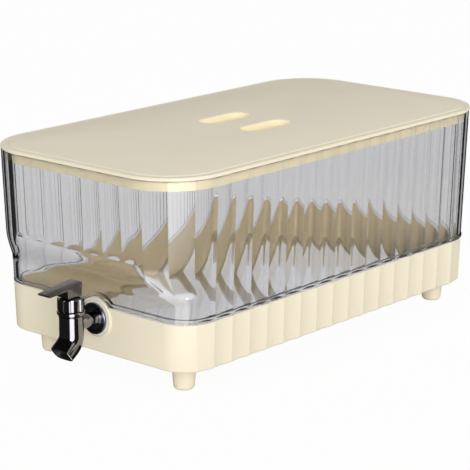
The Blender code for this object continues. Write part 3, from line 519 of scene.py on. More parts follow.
base_frame.data.materials.append(painted_shade_inner_abs)
# Faces on the frame's inner walls and flange take the deeper tone: painted shade.
for face in base_frame.data.polygons:
    middle = face.center
    z = middle.z - FOOT_HEIGHT
    inner_side = WIDTH / 2 - side_inset(z) - FRAME_INSET + FACE_SLACK
    inner_end = LENGTH / 2 - FRAME_INSET + FACE_SLACK
    inward = -(face.normal.x * middle.x + face.normal.y * (middle.y - JUG_Y))
    inside = abs(middle.x) < inner_side and abs(middle.y - JUG_Y) < inner_end
    if inside and GAP < z < FRAME_HEIGHT and (inward > FACES_INWARD or face.normal.z > FACES_UP):
        face.material_index = 1


# Feet: four tapered pegs of the same cream ABS with rounded tips, each pushed by its spigot into a
# hole in the frame's pad.
FOOT_TOP = 0.0080
FOOT_TIP = 0.0068
FOOT_TIP_ROUND = 0.0028
FOOT_TIP_STEPS = 6
SPIGOT_RADIUS = 0.0030
TURNED_SIDES = 96


def turned_sheet(name, profile, centre, facing="up", closed=False):
    """A sheet turned from points (radius, height) about a line that faces up or to the front."""
    turns = [2 * math.pi * i / TURNED_SIDES for i in range(TURNED_SIDES)]
    rings = []
    for radius, height in profile:
        round_points = [(radius * math.cos(a), radius * math.sin(a)) for a in turns]
        if facing == "up":
            ring = [centre + Vector((across, along, height)) for across, along in round_points]
        else:
            ring = [centre + Vector((across, -height, up)) for across, up in round_points]
        rings.append(ring)
    if closed:
        rings.append(rings[0])
    return wrapped_sheet(name, rings)


for name in ("foot_front_left", "foot_front_right", "foot_back_left", "foot_back_right"):
    low_corner, high_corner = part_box(name)
    middle = (low_corner + high_corner) / 2
    profile = [(0.0, FOOT_HEIGHT + FRAME_FLOOR), (SPIGOT_RADIUS, FOOT_HEIGHT + FRAME_FLOOR),
               (SPIGOT_RADIUS, FOOT_HEIGHT - GAP), (FOOT_TOP - GAP, FOOT_HEIGHT - GAP),
               (FOOT_TOP, FOOT_HEIGHT - 2 * GAP)]
    for turn in quarter_turns(FOOT_TIP_STEPS):
        profile.append((FOOT_TIP - FOOT_TIP_ROUND * (1 - math.cos(turn)),
                        FOOT_TIP_ROUND * (1 - math.sin(turn))))
    profile.append((0.0, 0.0))
    foot = turned_sheet(name + "_peg", profile, Vector((middle.x, middle.y, 0.0)))
    finish_piece(foot, cream_abs, "jug", [name])


# Tank: one injection moulding of clear grey styrene. It is fluted all round outside and smooth
# inside, so each flute is a lens. Its foot stands in the frame, behind a shallow ledge.
TANK_WALL = 0.0022
TANK_FLOOR = 0.0023
LEDGE_HEIGHT = 0.0024
LID_EDGE_HEIGHT = 0.0022
BAND_PROUD = 0.0001
BAND_SLOPE = 0.0012
BAND_EDGE = 0.0002
TINT_DENSITY = 24.0
RUNOUT_SHARES = (1.0, 0.75, 0.5, 0.3, 0.15, 0.05)
KINK_STEPS = 20
HOOD_STEPS = 32
RIM_Z = BODY_HEIGHT - LID_EDGE_HEIGHT
TANK_TOP = RIM_Z - GAP
LEDGE_Z = FRAME_HEIGHT + GAP
FOOT_INSET = FRAME_INSET + GAP
FLOOR_Z = FRAME_FLOOR + GAP + TANK_FLOOR

clear_styrene, tree, shader = new_material("clear_grey_styrene")
shader.inputs["Base Color"].default_value = hex_linear("#EEEEEF")
shader.inputs["Roughness"].default_value = 0.0
shader.inputs["IOR"].default_value = 1.57
shader.inputs["Transmission Weight"].default_value = 1.0
output = tree.nodes["Material Output"]
path = add_node(tree, "ShaderNodeLightPath")
bare = add_node(tree, "ShaderNodeBsdfTransparent", values={"Color": (1, 1, 1, 1)})
mixed = add_node(tree, "ShaderNodeMixShader", links={
    0: path.outputs["Is Shadow Ray"], 1: shader.outputs[0], 2: bare.outputs[0]})
tree.links.new(mixed.outputs[0], output.inputs["Surface"])
tint = add_node(tree, "ShaderNodeVolumeAbsorption", values={
    "Color": hex_linear("#B9BAC2"), "Density": TINT_DENSITY})
tree.links.new(tint.outputs[0], output.inputs["Volume"])

kink_levels = [KINK_TOP - (KINK_TOP - KINK_FOOT) * i / KINK_STEPS for i in range(KINK_STEPS + 1)]
band_top = LEDGE_Z + LEDGE_HEIGHT
runout = [KINK_TOP + FLUTE_RUNOUT * share for share in RUNOUT_SHARES]
fluted_levels = [TANK_TOP] + runout + kink_levels + [band_top - LEDGE_HEIGHT / 2]
tank = wrapped_sheet("clear_tank", [wall_ring(z, 0.0, True) for z in fluted_levels])
band = [wall_ring(band_top, BAND_SLOPE), wall_ring(band_top - BAND_SLOPE, -BAND_PROUD),
        wall_ring(LEDGE_Z + BAND_EDGE, -BAND_PROUD), wall_ring(LEDGE_Z, BAND_EDGE - BAND_PROUD)]
carve(tank, wrapped_sheet("tank_band", band), "UNION")
foot = [wall_ring(LEDGE_Z + LEDGE_HEIGHT / 2, FOOT_INSET)]
foot += rounded_foot(FRAME_FLOOR + GAP, FOOT_INSET, FRAME_ROUND)
upper = FLUTE_DEPTH + TANK_WALL
lower = FOOT_INSET + TANK_WALL
hollow = [wall_ring(z, upper) for z in [TANK_TOP + OVERRUN, TANK_TOP] + kink_levels + [band_top]]
hollow += [wall_ring(band_top, lower)] + rounded_foot(FLOOR_Z, lower, FRAME_ROUND)
carve(tank, wrapped_sheet("tank_foot", foot), "UNION")
carve(tank, wrapped_sheet("tank_hollow", hollow))
hood_radius = BOSS_RADIUS + GAP + TANK_WALL
hood_foot = math.asin((LEDGE_Z + LEDGE_HEIGHT / 2 - TAP_Z) / hood_radius)
hood = []
for y in (WALL_Y + lower, WALL_Y + FLUTE_DEPTH):
    turns = [hood_foot + (math.pi - 2 * hood_foot) * i / HOOD_STEPS for i in range(HOOD_STEPS + 1)]
    hood.append([(TAP_X + hood_radius * math.cos(a), y, TAP_Z + FOOT_HEIGHT + hood_radius * math.sin(a))
                 for a in turns])
carve(tank, wrapped_sheet("tank_hood", hood), "UNION")
carve(tank, bar_along_y("tank_notch", BOSS_RADIUS + GAP, WALL_Y - HOLE_REACH, WALL_Y + FOOT_INSET))
carve(tank, bar_along_y("tank_hole", SHANK_HOLE, WALL_Y - HOLE_REACH, WALL_Y + 2 * HOLE_REACH))
finish_piece(tank, clear_styrene, "jug", ["tank"], 12)


# Lid: one moulding of cream ABS with a slightly raised panel, two scooped finger wells and a skirt
# that plugs the tank's mouth.
PANEL_RISE = 0.0006
PANEL_INSET = 0.0048
SKIRT_DROP = 0.0066
SKIRT_WALL = 0.0018
LID_PLATE = 0.0022
WELL_LENGTH = 0.0440
WELL_WIDTH = 0.0170
WELL_SPACING = 0.0367
WELL_DEPTH = 0.0070
WELL_SLOPE = 0.0040
WELL_WALL = 0.0016
WELL_RIM = ((0.0005, 0.0008), (0.0, 0.0004), (-0.0004, -0.0001), (-0.0010, -0.0006))
WELL_BULGE = 0.0002
WELL_FLOOR_ROUND = 0.0012
WELL_FLOOR_INSET = 0.0011
WELL_FLOOR_STEPS = 4
WELL_END_STEPS = 20
EDGE_ROUND = 0.0009
EDGE_FOOT_ROUND = 0.0003
EDGE_SLOPE_INSET = 0.0016
EDGE_SLOPE_DROP = 0.0001
FACES_SLOPED = 0.05
PANEL_EDGE = ((0.0, 0.0), (0.0004, 0.7), (0.0012, 1.0))
panel_z = BODY_HEIGHT + PANEL_RISE
skirt_inset = FLUTE_DEPTH + TANK_WALL + GAP + side_inset(TANK_TOP)
skirt_foot = RIM_Z - SKIRT_DROP
skirt_low = skirt_inset + side_inset(skirt_foot)


def lid_ring(height, inset):
    """The lid's outline, drawn in by an inset, at a height."""
    return wall_ring(BODY_HEIGHT, inset, level=height)


def well_ring(height, grow, side):
    """A well's outline with round ends, at a height, on one side of the middle."""
    radius = WELL_WIDTH / 2 + grow
    straight = (WELL_LENGTH - WELL_WIDTH) / 2
    ring = []
    for sign, first in ((1, 0.0), (-1, math.pi)):
        for i in range(WELL_END_STEPS + 1):
            angle = first + math.pi * i / WELL_END_STEPS
            ring.append((side * WELL_SPACING / 2 + radius * math.cos(angle),
                         sign * straight + radius * math.sin(angle) + JUG_Y, height + FOOT_HEIGHT))
    return ring


shell = [lid_ring(skirt_foot, skirt_low), lid_ring(RIM_Z, skirt_inset),
         lid_ring(RIM_Z, EDGE_FOOT_ROUND), lid_ring(RIM_Z + EDGE_FOOT_ROUND, 0.0)]
for turn in quarter_turns(ROUND_STEPS):
    shell.append(lid_ring(BODY_HEIGHT - EDGE_ROUND * (1 - math.sin(turn)),
                          EDGE_ROUND * (1 - math.cos(turn))))
shell.append(lid_ring(BODY_HEIGHT - EDGE_SLOPE_DROP, EDGE_SLOPE_INSET))
shell += [lid_ring(BODY_HEIGHT + PANEL_RISE * rise, PANEL_INSET + inset) for inset, rise in PANEL_EDGE]
lid = wrapped_sheet("lid_moulding", shell)
hollow = [lid_ring(skirt_foot - OVERRUN / 2, skirt_low + SKIRT_WALL),
          lid_ring(skirt_foot, skirt_low + SKIRT_WALL),
          lid_ring(panel_z - LID_PLATE, skirt_inset + SKIRT_WALL)]
carve(lid, wrapped_sheet("lid_hollow", hollow))
for side in (-1, 1):
    cup = [well_ring(panel_z - LID_PLATE / 2, WELL_WALL, side),
           well_ring(panel_z - WELL_DEPTH - WELL_WALL, WELL_WALL - WELL_SLOPE, side)]
    carve(lid, wrapped_sheet("lid_cup", cup), "UNION")
    scoop = [well_ring(panel_z + above, grow, side) for above, grow in WELL_RIM]
    scoop.append(well_ring(panel_z - WELL_DEPTH / 2, -WELL_SLOPE / 2 - WELL_BULGE, side))
    for turn in quarter_turns(WELL_FLOOR_STEPS):
        scoop.append(well_ring(panel_z - WELL_DEPTH + WELL_FLOOR_ROUND * (1 - math.sin(turn)),
                               WELL_FLOOR_ROUND * math.cos(turn) - WELL_SLOPE - WELL_FLOOR_INSET, side))
    carve(lid, wrapped_sheet("lid_scoop", scoop))
finish_piece(lid, cream_abs, "lid", ["lid"], 20)

# The skirt is painted a warmer cream: painted glow for light coming through the thin skirt.
painted_glow_skirt_abs = toned_copy(cream_abs, "cream_abs_painted_skirt_glow", "#F2E4BE", "#F5E9C8")
# The wells' thin floors and slopes are painted a lighter, warmer cream: painted glow for light coming
# through them from below.
painted_glow_well_abs = toned_copy(cream_abs, "cream_abs_painted_well_glow", "#FFF0CA", "#FFF3D2")
lid.data.materials.append(painted_glow_well_abs)
lid.data.materials.append(painted_glow_skirt_abs)
for face in lid.data.polygons:
    middle = face.center
    beside = abs(abs(middle.x) - WELL_SPACING / 2) < WELL_WIDTH / 2
    along = abs(middle.y - JUG_Y) < WELL_LENGTH / 2
    depth = panel_z + FOOT_HEIGHT - middle.z
    # Faces in the wells take the painted glow.
    if beside and along and GAP < depth < WELL_DEPTH + FACE_SLACK and face.normal.z > FACES_SLOPED:
        face.material_index = 1
    # Faces of the skirt, below the rim, take the painted glow.
    if middle.z < RIM_Z + FOOT_HEIGHT - FACE_SLACK:
        face.material_index = 2


# Tap body: barrel, bent spout and shank in one casting, plated in dark chrome. The shank passes
# through the boss and the tank's wall.
BARREL = Vector((TAP_X, -0.1705 + JUG_Y, TAP_Z + FOOT_HEIGHT))
BARREL_RADIUS = 0.00775
ELBOW_DROP = 0.0102
MOUTH_DROP = 0.0172
MOUTH_REACH = 0.0090
MOUTH_HEIGHT = 0.0055
MOUTH_RIM = 0.0013
BEND_LENGTH = 0.0045
BEND_HEIGHT = 0.0070
BEND_SQUARENESS = 0.2
MOUTH_SQUARENESS = 0.45
MOUTH_EASE = 0.0002
MOUTH_LIP = 0.0006
MOUTH_CHAMFER = 0.0003
BORE_SQUARE = 0.6
BORE_SHADE_DEPTH = 0.0120
OUTLET_BORE = 0.0042
SHOULDER_UP = 0.0072
BEAD = ((0.0, BARREL_RADIUS), (0.0003, 0.0081), (0.0005, 0.0082), (0.0007, 0.0081),
        (0.0010, BARREL_RADIUS))
BEND_STEPS = 10
SPOUT_SHARES = (0.0, 0.25, 0.5, 0.75, 0.97)
SPOUT_SIDES = 96
BORE_LAP = 0.0002
BORE_RISE = 0.001
SHADE_SLACK = 0.0001
NECK_RADIUS = 0.0066
NECK_UP = 0.0148
SHANK_RADIUS = 0.0046
SHANK_BORE = 0.0026
SHANK_END = 0.0369
CHAMBER_RADIUS = 0.0046
SEAT_DROP = 0.0056
SEAT_BORE = 0.0027
SEAL_LEDGE_UP = 0.0048
UPPER_BORE = 0.0056

# Dark chrome, plated over polished zinc: a deep grey mirror with very slight waves.
dark_chrome, tree, shader = new_material("dark_chrome_plate")
shader.inputs["Metallic"].default_value = 1.0
WAVE_SIZE = 0.006
where = add_node(tree, "ShaderNodeTexCoord")
waves = add_node(tree, "ShaderNodeTexNoise", values={"Scale": 1 / WAVE_SIZE, "Detail": 1.0}, links={
    "Vector": where.outputs["Object"]})
tone = add_node(tree, "ShaderNodeMix", {"data_type": "RGBA"}, {
    6: hex_linear("#8E8B8F"), 7: hex_linear("#989599")}, {0: waves.outputs["Fac"]})
gloss = add_node(tree, "ShaderNodeMapRange", values={"To Min": 0.05, "To Max": 0.10}, links={
    "Value": waves.outputs["Fac"]})
tree.links.new(tone.outputs[2], shader.inputs["Base Color"])
tree.links.new(gloss.outputs["Result"], shader.inputs["Roughness"])


def boxy_ring(centre, up, half_width, half_height, square=1.0):
    """A ring across X and a second direction, from round to boxy."""
    ring = []
    for i in range(SPOUT_SIDES):
        angle = 2 * math.pi * i / SPOUT_SIDES
        across = math.copysign(abs(math.cos(angle)) ** square, math.cos(angle))
        rise = math.copysign(abs(math.sin(angle)) ** square, math.sin(angle))
        ring.append(BARREL + centre + Vector((half_width * across, 0, 0)) + up * (half_height * rise))
    return ring


spout = Vector((0, -MOUTH_REACH, ELBOW_DROP - MOUTH_DROP)).normalized()
mouth_up = Vector((0, spout.z, -spout.y))
elbow = Vector((0, 0, -ELBOW_DROP))
mouth = Vector((0, -MOUTH_REACH, -MOUTH_DROP))
back = Vector((0, -1, 0))
rings = [boxy_ring(Vector((0, 0, SHOULDER_UP - drop)), back, radius, radius) for drop, radius in BEAD]
rings.append(boxy_ring(elbow + Vector((0, 0, BEND_LENGTH)), back, BARREL_RADIUS, BARREL_RADIUS))
for i in range(1, BEND_STEPS):
    share = i / BEND_STEPS
    above = Vector((0, 0, BEND_LENGTH * (1 - share) ** 2))
    tilt = back.slerp(mouth_up, share)
    reach = BARREL_RADIUS + (BEND_HEIGHT - BARREL_RADIUS) * share ** 2
    place = elbow + above + spout * BEND_LENGTH * share ** 2
    rings.append(boxy_ring(place, tilt, BARREL_RADIUS, reach, 1 - BEND_SQUARENESS * share ** 2))
for share in SPOUT_SHARES:
    place = (elbow + spout * BEND_LENGTH).lerp(mouth, share)
    reach = BEND_HEIGHT + (MOUTH_HEIGHT - BEND_HEIGHT) * share
    square = 1 - BEND_SQUARENESS - (MOUTH_SQUARENESS - BEND_SQUARENESS) * share
    rings.append(boxy_ring(place, mouth_up, BARREL_RADIUS, reach, square))
rings.append(boxy_ring(mouth, mouth_up, BARREL_RADIUS - MOUTH_EASE, MOUTH_HEIGHT - MOUTH_EASE,
                       1 - MOUTH_SQUARENESS))
tap_body = wrapped_sheet("tap_casting", rings)
carve(tap_body, upright_rod(NECK_RADIUS, 0, NECK_UP, BARREL, SPOUT_SIDES), "UNION")
carve(tap_body, bar_along_y("tap_shank", SHANK_RADIUS, BARREL.y, BARREL.y + SHANK_END), "UNION")
wide = BARREL_RADIUS - MOUTH_RIM
high = MOUTH_HEIGHT - MOUTH_RIM
outlet = [boxy_ring(elbow, mouth_up, OUTLET_BORE, OUTLET_BORE),
          boxy_ring(mouth - spout * MOUTH_LIP, mouth_up, wide - MOUTH_CHAMFER, high - MOUTH_CHAMFER,
                    BORE_SQUARE),
          boxy_ring(mouth, mouth_up, wide, high, BORE_SQUARE),
          boxy_ring(mouth + spout * OVERRUN, mouth_up, wide, high, BORE_SQUARE)]
carve(tap_body, wrapped_sheet("spout_outlet", outlet))
carve(tap_body, bar_along_y("tap_inlet", SHANK_BORE, BARREL.y, BARREL.y + SHANK_END + OVERRUN))
for radius, foot, top in ((CHAMBER_RADIUS, -SEAT_DROP, SEAL_LEDGE_UP + BORE_LAP),
                          (UPPER_BORE, SEAL_LEDGE_UP, NECK_UP + BORE_RISE),
                          (SEAT_BORE, -ELBOW_DROP, BORE_LAP - SEAT_DROP)):
    carve(tap_body, upright_rod(radius, foot, top, BARREL))
finish_piece(tap_body, dark_chrome, "jug", ["tap_body"], 30)

# The bore behind the mouth's rim is painted nearly black with faint mottling: painted shade for the
# dark inside of the outlet.
painted_shade_bore, tree, shader = new_material("bore_painted_shade")
SHADE_MOTTLE_SIZE = 0.002
where = add_node(tree, "ShaderNodeTexCoord")
shade_mottle = add_node(tree, "ShaderNodeTexNoise", values={"Scale": 1 / SHADE_MOTTLE_SIZE, "Detail": 2.0}, links={
    "Vector": where.outputs["Object"]})
tone = add_node(tree, "ShaderNodeMix", {"data_type": "RGBA"}, {
    6: hex_linear("#0C0B0C"), 7: hex_linear("#161516")}, {0: shade_mottle.outputs["Fac"]})
tree.links.new(tone.outputs[2], shader.inputs["Base Color"])
shader.inputs["Roughness"].default_value = 0.6
tap_body.data.materials.append(painted_shade_bore)
# Faces of the bore behind the mouth take the painted shade.
for face in tap_body.data.polygons:
    offset = face.center - BARREL - mouth
    above = offset.dot(mouth_up)
    inside = abs(offset.x) < wide + SHADE_SLACK and abs(above) < high + SHADE_SLACK
    if inside and -BORE_SHADE_DEPTH < offset.dot(spout) < -SHADE_SLACK:
        face.material_index = 1


# Flange disc: a dished disc, turned and then plated, that hides the hole in the boss. The turning
# marks spread its highlight into a fan.
low_corner, high_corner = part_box("flange_disc")
DISC_RADIUS = (high_corner.x - low_corner.x) / 2
DISC_DISH = 0.0007
DISC_RIM = 0.0010
DISC_BORE = 0.0049
DISC_FACE = ((DISC_BORE, 1.0), (0.0066, 0.9), (0.0082, 0.5), (DISC_RADIUS - DISC_RIM, 0.0))
DISC_EDGE = ((0.6, 0.04), (0.2, 0.22), (0.0, 0.5))

turned_chrome, tree, shader = new_material("turned_dark_chrome")
shader.inputs["Metallic"].default_value = 1.0
TURNING_PITCH = 0.0004
RINGS_SCALE = 0.0314
where = add_node(tree, "ShaderNodeTexCoord")
centred = add_node(tree, "ShaderNodeMapping", values={
    "Location": (-BARREL.x, 0.0, -BARREL.z)}, links={"Vector": where.outputs["Object"]})
marks = add_node(tree, "ShaderNodeTexWave", {"wave_type": "RINGS", "rings_direction": "Y"}, {
    "Scale": RINGS_SCALE / TURNING_PITCH, "Distortion": 0.4, "Detail": 1.0}, {
    "Vector": centred.outputs["Vector"]})
tone = add_node(tree, "ShaderNodeMix", {"data_type": "RGBA"}, {
    6: hex_linear("#6E6C70"), 7: hex_linear("#8A888C")}, {0: marks.outputs["Fac"]})
gloss = add_node(tree, "ShaderNodeMapRange", values={"To Min": 0.16, "To Max": 0.26}, links={
    "Value": marks.outputs["Fac"]})
bump = add_node(tree, "ShaderNodeBump", values={"Strength": 0.15, "Distance": 0.0001}, links={
    "Height": marks.outputs["Fac"]})
tree.links.new(tone.outputs[2], shader.inputs["Base Color"])
tree.links.new(gloss.outputs["Result"], shader.inputs["Roughness"])
tree.links.new(bump.outputs["Normal"], shader.inputs["Normal"])

disc_back = -high_corner.y
disc_front = -low_corner.y
axis_foot = Vector((BARREL.x, 0.0, BARREL.z))
profile = [(radius, disc_front - DISC_DISH * share) for radius, share in DISC_FACE]
profile += [(DISC_RADIUS - DISC_RIM * inward, disc_front - DISC_RIM * drop)
            for inward, drop in DISC_EDGE]
profile += [(DISC_RADIUS, disc_back), (DISC_BORE, disc_back)]
disc = turned_sheet("flange_disc_turned", profile, axis_foot, "front", closed=True)
finish_piece(disc, turned_chrome, "jug", ["flange_disc"], 30)


# Washers: two flat rings of soft white silicone. One lies in the boss, round the disc, and the other
# is inside the tank, under the nut.
silicone, tree, shader = new_material("white_moulded_silicone")
BLOOM_SIZE = 0.003
WASHER_EDGE = 0.0002
where = add_node(tree, "ShaderNodeTexCoord")
bloom = add_node(tree, "ShaderNodeTexNoise", values={"Scale": 1 / BLOOM_SIZE, "Detail": 3.0}, links={
    "Vector": where.outputs["Object"]})
tone = add_node(tree, "ShaderNodeMix", {"data_type": "RGBA"}, {
    6: hex_linear("#EDEDEA"), 7: hex_linear("#F6F6F3")}, {0: bloom.outputs["Fac"]})
gloss = add_node(tree, "ShaderNodeMapRange", values={"To Min": 0.45, "To Max": 0.6}, links={
    "Value": bloom.outputs["Fac"]})
tree.links.new(tone.outputs[2], shader.inputs["Base Color"])
tree.links.new(gloss.outputs["Result"], shader.inputs["Roughness"])
shader.inputs["IOR"].default_value = 1.41

for name, label in (("outer_washer", "outer_sealing_washer"), ("inner_washer", "inner_sealing_washer")):
    low_corner, high_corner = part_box(name)
    reach = (high_corner.x - low_corner.x) / 2
    front = -low_corner.y
    rear = -high_corner.y
    profile = [(DISC_BORE, front), (reach - WASHER_EDGE, front), (reach, front - WASHER_EDGE),
               (reach, rear + WASHER_EDGE), (reach - WASHER_EDGE, rear), (DISC_BORE, rear)]
    washer = turned_sheet(label, profile, axis_foot, "front", closed=True)
    finish_piece(washer, silicone, "jug", [name], 30)


# Back nut: a moulded hexagon nut with a chamfered rim, run up the shank by hand inside the tank.
low_corner, high_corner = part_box("back_nut")
nut_nylon, tree, shader = new_material("black_moulded_nylon")
SPARK_SIZE = 0.0006
NUT_BEVEL = 0.0004
where = add_node(tree, "ShaderNodeTexCoord")
sparks = add_node(tree, "ShaderNodeTexNoise", values={"Scale": 1 / SPARK_SIZE, "Detail": 2.0}, links={
    "Vector": where.outputs["Object"]})
tone = add_node(tree, "ShaderNodeMix", {"data_type": "RGBA"}, {
    6: hex_linear("#3A3A3C"), 7: hex_linear("#48484A")}, {0: sparks.outputs["Fac"]})
bump = add_node(tree, "ShaderNodeBump", values={"Strength": 0.1, "Distance": 0.0001}, links={
    "Height": sparks.outputs["Fac"]})
tree.links.new(tone.outputs[2], shader.inputs["Base Color"])
tree.links.new(bump.outputs["Normal"], shader.inputs["Normal"])
shader.inputs["Roughness"].default_value = 0.45
shader.inputs["IOR"].default_value = 1.53

nut_reach = (high_corner.x - low_corner.x) / 2
bpy.ops.object.select_all(action="DESELECT")
bpy.ops.mesh.primitive_cylinder_add(
    vertices=6, radius=nut_reach, depth=high_corner.y - low_corner.y,
    location=(BARREL.x, (low_corner.y + high_corner.y) / 2, BARREL.z),
    rotation=(math.pi / 2, 0.0, 0.0))
nut = bpy.context.object
nut.name = "hexagon_back_nut"
bpy.ops.object.transform_apply(location=True, rotation=True, scale=True)
apply_modifier(nut, "BEVEL", width=NUT_BEVEL, segments=3, limit_method="ANGLE")
carve(nut, bar_along_y("nut_bore", DISC_BORE, low_corner.y - OVERRUN / 2, high_corner.y + OVERRUN / 2))
finish_piece(nut, nut_nylon, "jug", ["back_nut"], 30)


# Trim ring: a thin plated ring with a rounded edge, between the barrel and the cap.
low_corner, high_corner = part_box("bonnet_ring")
ring_reach = (high_corner.x - low_corner.x) / 2
ring_bore = NECK_RADIUS + GAP
RING_ROUND = 0.0008
RING_STEPS = 6
profile = [(ring_bore, high_corner.z)]
for turn in quarter_turns(RING_STEPS):
    profile.append((ring_reach - RING_ROUND * (1 - math.sin(turn)),
                    high_corner.z - RING_ROUND * (1 - math.cos(turn))))
for turn in quarter_turns(RING_STEPS):
    profile.append((ring_reach - RING_ROUND * (1 - math.cos(turn)),
                    low_corner.z + RING_ROUND * (1 - math.sin(turn))))
profile.append((ring_bore, low_corner.z))
tap_foot = Vector((BARREL.x, BARREL.y, 0.0))
trim = turned_sheet("trim_ring", profile, tap_foot, closed=True)
finish_piece(trim, dark_chrome, "jug", ["bonnet_ring"], 30)


# Cap: a plated cap with broad ribs for the fingers, screwed over the barrel's neck.
low_corner, high_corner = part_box("bonnet_cap")
CAP_RIBS = 12
CAP_RADIUS = 0.0086
CAP_GROOVE = 0.0006
CAP_ROOF = 0.0016
CAP_DOME_RISE = 0.0010
CAP_FOOT = ((0.0005, 0.5, 0.0), (0.0001, 1.0, 0.0002), (0.0, 1.0, 0.0005))
CAP_SHOULDER = ((0.0, 1.0, -0.0006), (0.0001, 0.9, -0.0003), (0.0005, 0.4, 0.0), (0.0011, 0.0, 0.0002))
CAP_DOME = ((0.0060, 1 / 4), (0.0046, 1 / 14), (0.0030, 0.0))
RIB_STEPS = 16
RIB_STEEPNESS = 2.2
STEM_RADIUS = 0.0020


def rib_ring(radius, groove, height):
    """A ring with ribs and grooves of equal width, eased where they meet."""
    ring = []
    for i in range(CAP_RIBS * RIB_STEPS):
        angle = 2 * math.pi * i / (CAP_RIBS * RIB_STEPS)
        wave = math.cos(angle * CAP_RIBS - math.pi / 2)
        depth = groove * min(max(0.5 - wave * RIB_STEEPNESS, 0.0), 1.0)
        ring.append((BARREL.x + (radius - depth) * math.cos(angle),
                     BARREL.y + (radius - depth) * math.sin(angle), height))
    return ring


rib_top = high_corner.z - CAP_DOME_RISE
rings = []
for edge_z, edge in ((low_corner.z, CAP_FOOT), (rib_top, CAP_SHOULDER)):
    rings += [rib_ring(CAP_RADIUS - inward, CAP_GROOVE * share, edge_z + up)
              for inward, share, up in edge]
rings += [rib_ring(radius, 0.0, high_corner.z - CAP_DOME_RISE * share) for radius, share in CAP_DOME]
cap = wrapped_sheet("ribbed_cap", rings)
for radius, foot_z, top_z in ((NECK_RADIUS + GAP, low_corner.z - OVERRUN, rib_top - CAP_ROOF),
                              (STEM_RADIUS + GAP, low_corner.z, high_corner.z + OVERRUN)):
    carve(cap, upright_rod(radius, foot_z, top_z, tap_foot))
finish_piece(cap, dark_chrome, "jug", ["bonnet_cap"], 30)


# Valve: a turned stem with a collar, a silicone plug on its foot, a seal round it and a coil spring
# over the collar. Only the stem's head shows, in the lever's slot.
spring_steel, tree, shader = new_material("drawn_spring_steel")
shader.inputs["Metallic"].default_value = 1.0
DRAW_SIZE = 0.0005
where = add_node(tree, "ShaderNodeTexCoord")
draws = add_node(tree, "ShaderNodeTexNoise", values={"Scale": 1 / DRAW_SIZE, "Detail": 2.0}, links={
    "Vector": where.outputs["Object"]})
tone = add_node(tree, "ShaderNodeMix", {"data_type": "RGBA"}, {
    6: hex_linear("#A9A9AC"), 7: hex_linear("#BCBCBE")}, {0: draws.outputs["Fac"]})
gloss = add_node(tree, "ShaderNodeMapRange", values={"To Min": 0.22, "To Max": 0.38}, links={
    "Value": draws.outputs["Fac"]})
tree.links.new(tone.outputs[2], shader.inputs["Base Color"])
tree.links.new(gloss.outputs["Result"], shader.inputs["Roughness"])
for name, material in (("valve_stem", dark_chrome), ("valve_plug", silicone), ("stem_seal", silicone),
                       ("lever_pin", spring_steel)):
    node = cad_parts[name]
    node.data.materials.clear()
    node.data.materials.append(material)

# The spring is wound from round wire. In the tap the collar presses its coil flatter from below as the
# stem lifts; here the coil keeps its rest height.
SPRING_WIRE = 0.0004
WIRE_SHARE = 0.98
SPRING_TURNS = 5
SPRING_TURN_POINTS = 32
low_corner, high_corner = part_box("return_spring")
spring_radius = (high_corner.x - low_corner.x) / 2 - SPRING_WIRE
spring_rise = high_corner.z - low_corner.z - 2 * SPRING_WIRE
spring_foot = Vector((BARREL.x, BARREL.y, low_corner.z + SPRING_WIRE))
coil = bpy.data.curves.new("coil_spring", "CURVE")
coil.dimensions = "3D"
coil.bevel_depth = SPRING_WIRE * WIRE_SHARE
coil.bevel_resolution = 3
coil.use_fill_caps = True
spline = coil.splines.new("POLY")
spline.points.add(SPRING_TURNS * SPRING_TURN_POINTS)
for i, point in enumerate(spline.points):
    angle = 2 * math.pi * i / SPRING_TURN_POINTS
    rise = spring_rise * i / (SPRING_TURNS * SPRING_TURN_POINTS)
    across = Vector((math.cos(angle), math.sin(angle), 0.0)) * spring_radius
    point.co = (*(spring_foot + across + Vector((0.0, 0.0, rise))), 1.0)
spring = bpy.data.objects.new("coil_spring", coil)
scene.collection.objects.link(spring)
bpy.ops.object.select_all(action="DESELECT")
bpy.context.view_layer.objects.active = spring
spring.select_set(True)
bpy.ops.object.convert(target="MESH")
finish_piece(bpy.context.object, spring_steel, "jug", ["return_spring"], 60)
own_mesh(bpy.context.object)


# Lever: a flat plate with a block under its rear end, cast in one and plated in satin dark chrome. A
# cross pin holds it on the stem's head.
PIN_UP = 0.0224
PIN = Vector((BARREL.x, BARREL.y, BARREL.z + PIN_UP))
PIN_HOLE_RADIUS = 0.0012
PIN_HOLE_SIDES = 48
PIN_COVER = 0.0010
SLOT_WIDTH = 0.0048
SLOT_LENGTH = 0.0078
SLOT_TOP = 0.0028
SLOT_FOOT = -0.0120
LEVER_WIDTH = 0.0105
LEVER_FLARE = 0.05
LEVER_REACH = 0.0228
lever_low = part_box("lever")[0]
LEVER_SIDE = (
    (-0.0051, 0.0057),
    (0.0228, 0.0023),
    (0.0228, 0.0011),
    (0.0075, 0.0022),
    (0.0069, lever_low.z - PIN.z),
    (-0.0045, lever_low.z - PIN.z),
)

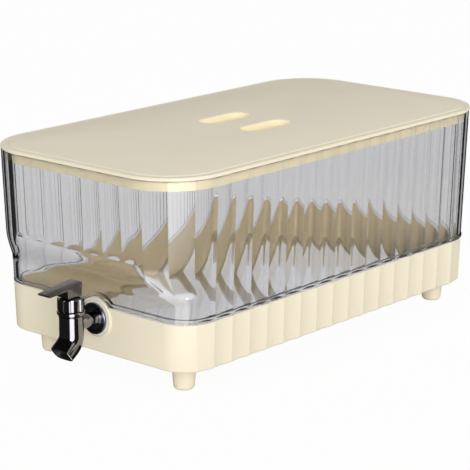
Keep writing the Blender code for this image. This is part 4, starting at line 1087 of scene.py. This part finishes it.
satin_chrome, tree, shader = new_material("satin_dark_chrome")
shader.inputs["Metallic"].default_value = 1.0
BRUSH_WIDTH = 0.0003
BRUSH_STRETCH = 0.06
where = add_node(tree, "ShaderNodeTexCoord")
stretched = add_node(tree, "ShaderNodeMapping", values={
    "Scale": (1.0, BRUSH_STRETCH, 1.0)}, links={"Vector": where.outputs["Object"]})
strokes = add_node(tree, "ShaderNodeTexNoise", values={"Scale": 1 / BRUSH_WIDTH, "Detail": 2.0}, links={
    "Vector": stretched.outputs["Vector"]})
tone = add_node(tree, "ShaderNodeMix", {"data_type": "RGBA"}, {
    6: hex_linear("#757070"), 7: hex_linear("#827C79")}, {0: strokes.outputs["Fac"]})
gloss = add_node(tree, "ShaderNodeMapRange", values={"To Min": 0.20, "To Max": 0.30}, links={
    "Value": strokes.outputs["Fac"]})
tree.links.new(tone.outputs[2], shader.inputs["Base Color"])
tree.links.new(gloss.outputs["Result"], shader.inputs["Roughness"])

rings = []
for side in (-1, 1):
    ring = []
    for forward, up in LEVER_SIDE:
        half = LEVER_WIDTH / 2 * (1 + LEVER_FLARE * max(forward, 0.0) / LEVER_REACH)
        ring.append(PIN + Vector((side * half, -forward, up)))
    rings.append(ring)
lever = wrapped_sheet("lever_handle", rings)
apply_modifier(lever, "BEVEL", width=EDGE_BEVEL, segments=3, limit_method="ANGLE")
bpy.ops.object.select_all(action="DESELECT")
bpy.ops.mesh.primitive_cube_add(
    size=1.0, location=PIN + Vector((0, 0, (SLOT_TOP + SLOT_FOOT) / 2)),
    scale=(SLOT_WIDTH, SLOT_LENGTH, SLOT_TOP - SLOT_FOOT))
slot = bpy.context.object
bpy.ops.object.transform_apply(location=True, rotation=True, scale=True)
carve(lever, slot)
pin_hole_end = LEVER_WIDTH / 2 - PIN_COVER
bpy.ops.object.select_all(action="DESELECT")
bpy.ops.mesh.primitive_cylinder_add(
    vertices=PIN_HOLE_SIDES, radius=PIN_HOLE_RADIUS, depth=2 * LEVER_WIDTH,
    location=PIN + Vector((pin_hole_end - LEVER_WIDTH, 0.0, 0.0)), rotation=(0.0, math.pi / 2, 0.0))
carve(lever, bpy.context.object)
finish_piece(lever, satin_chrome, "lever", ["lever"], 30)
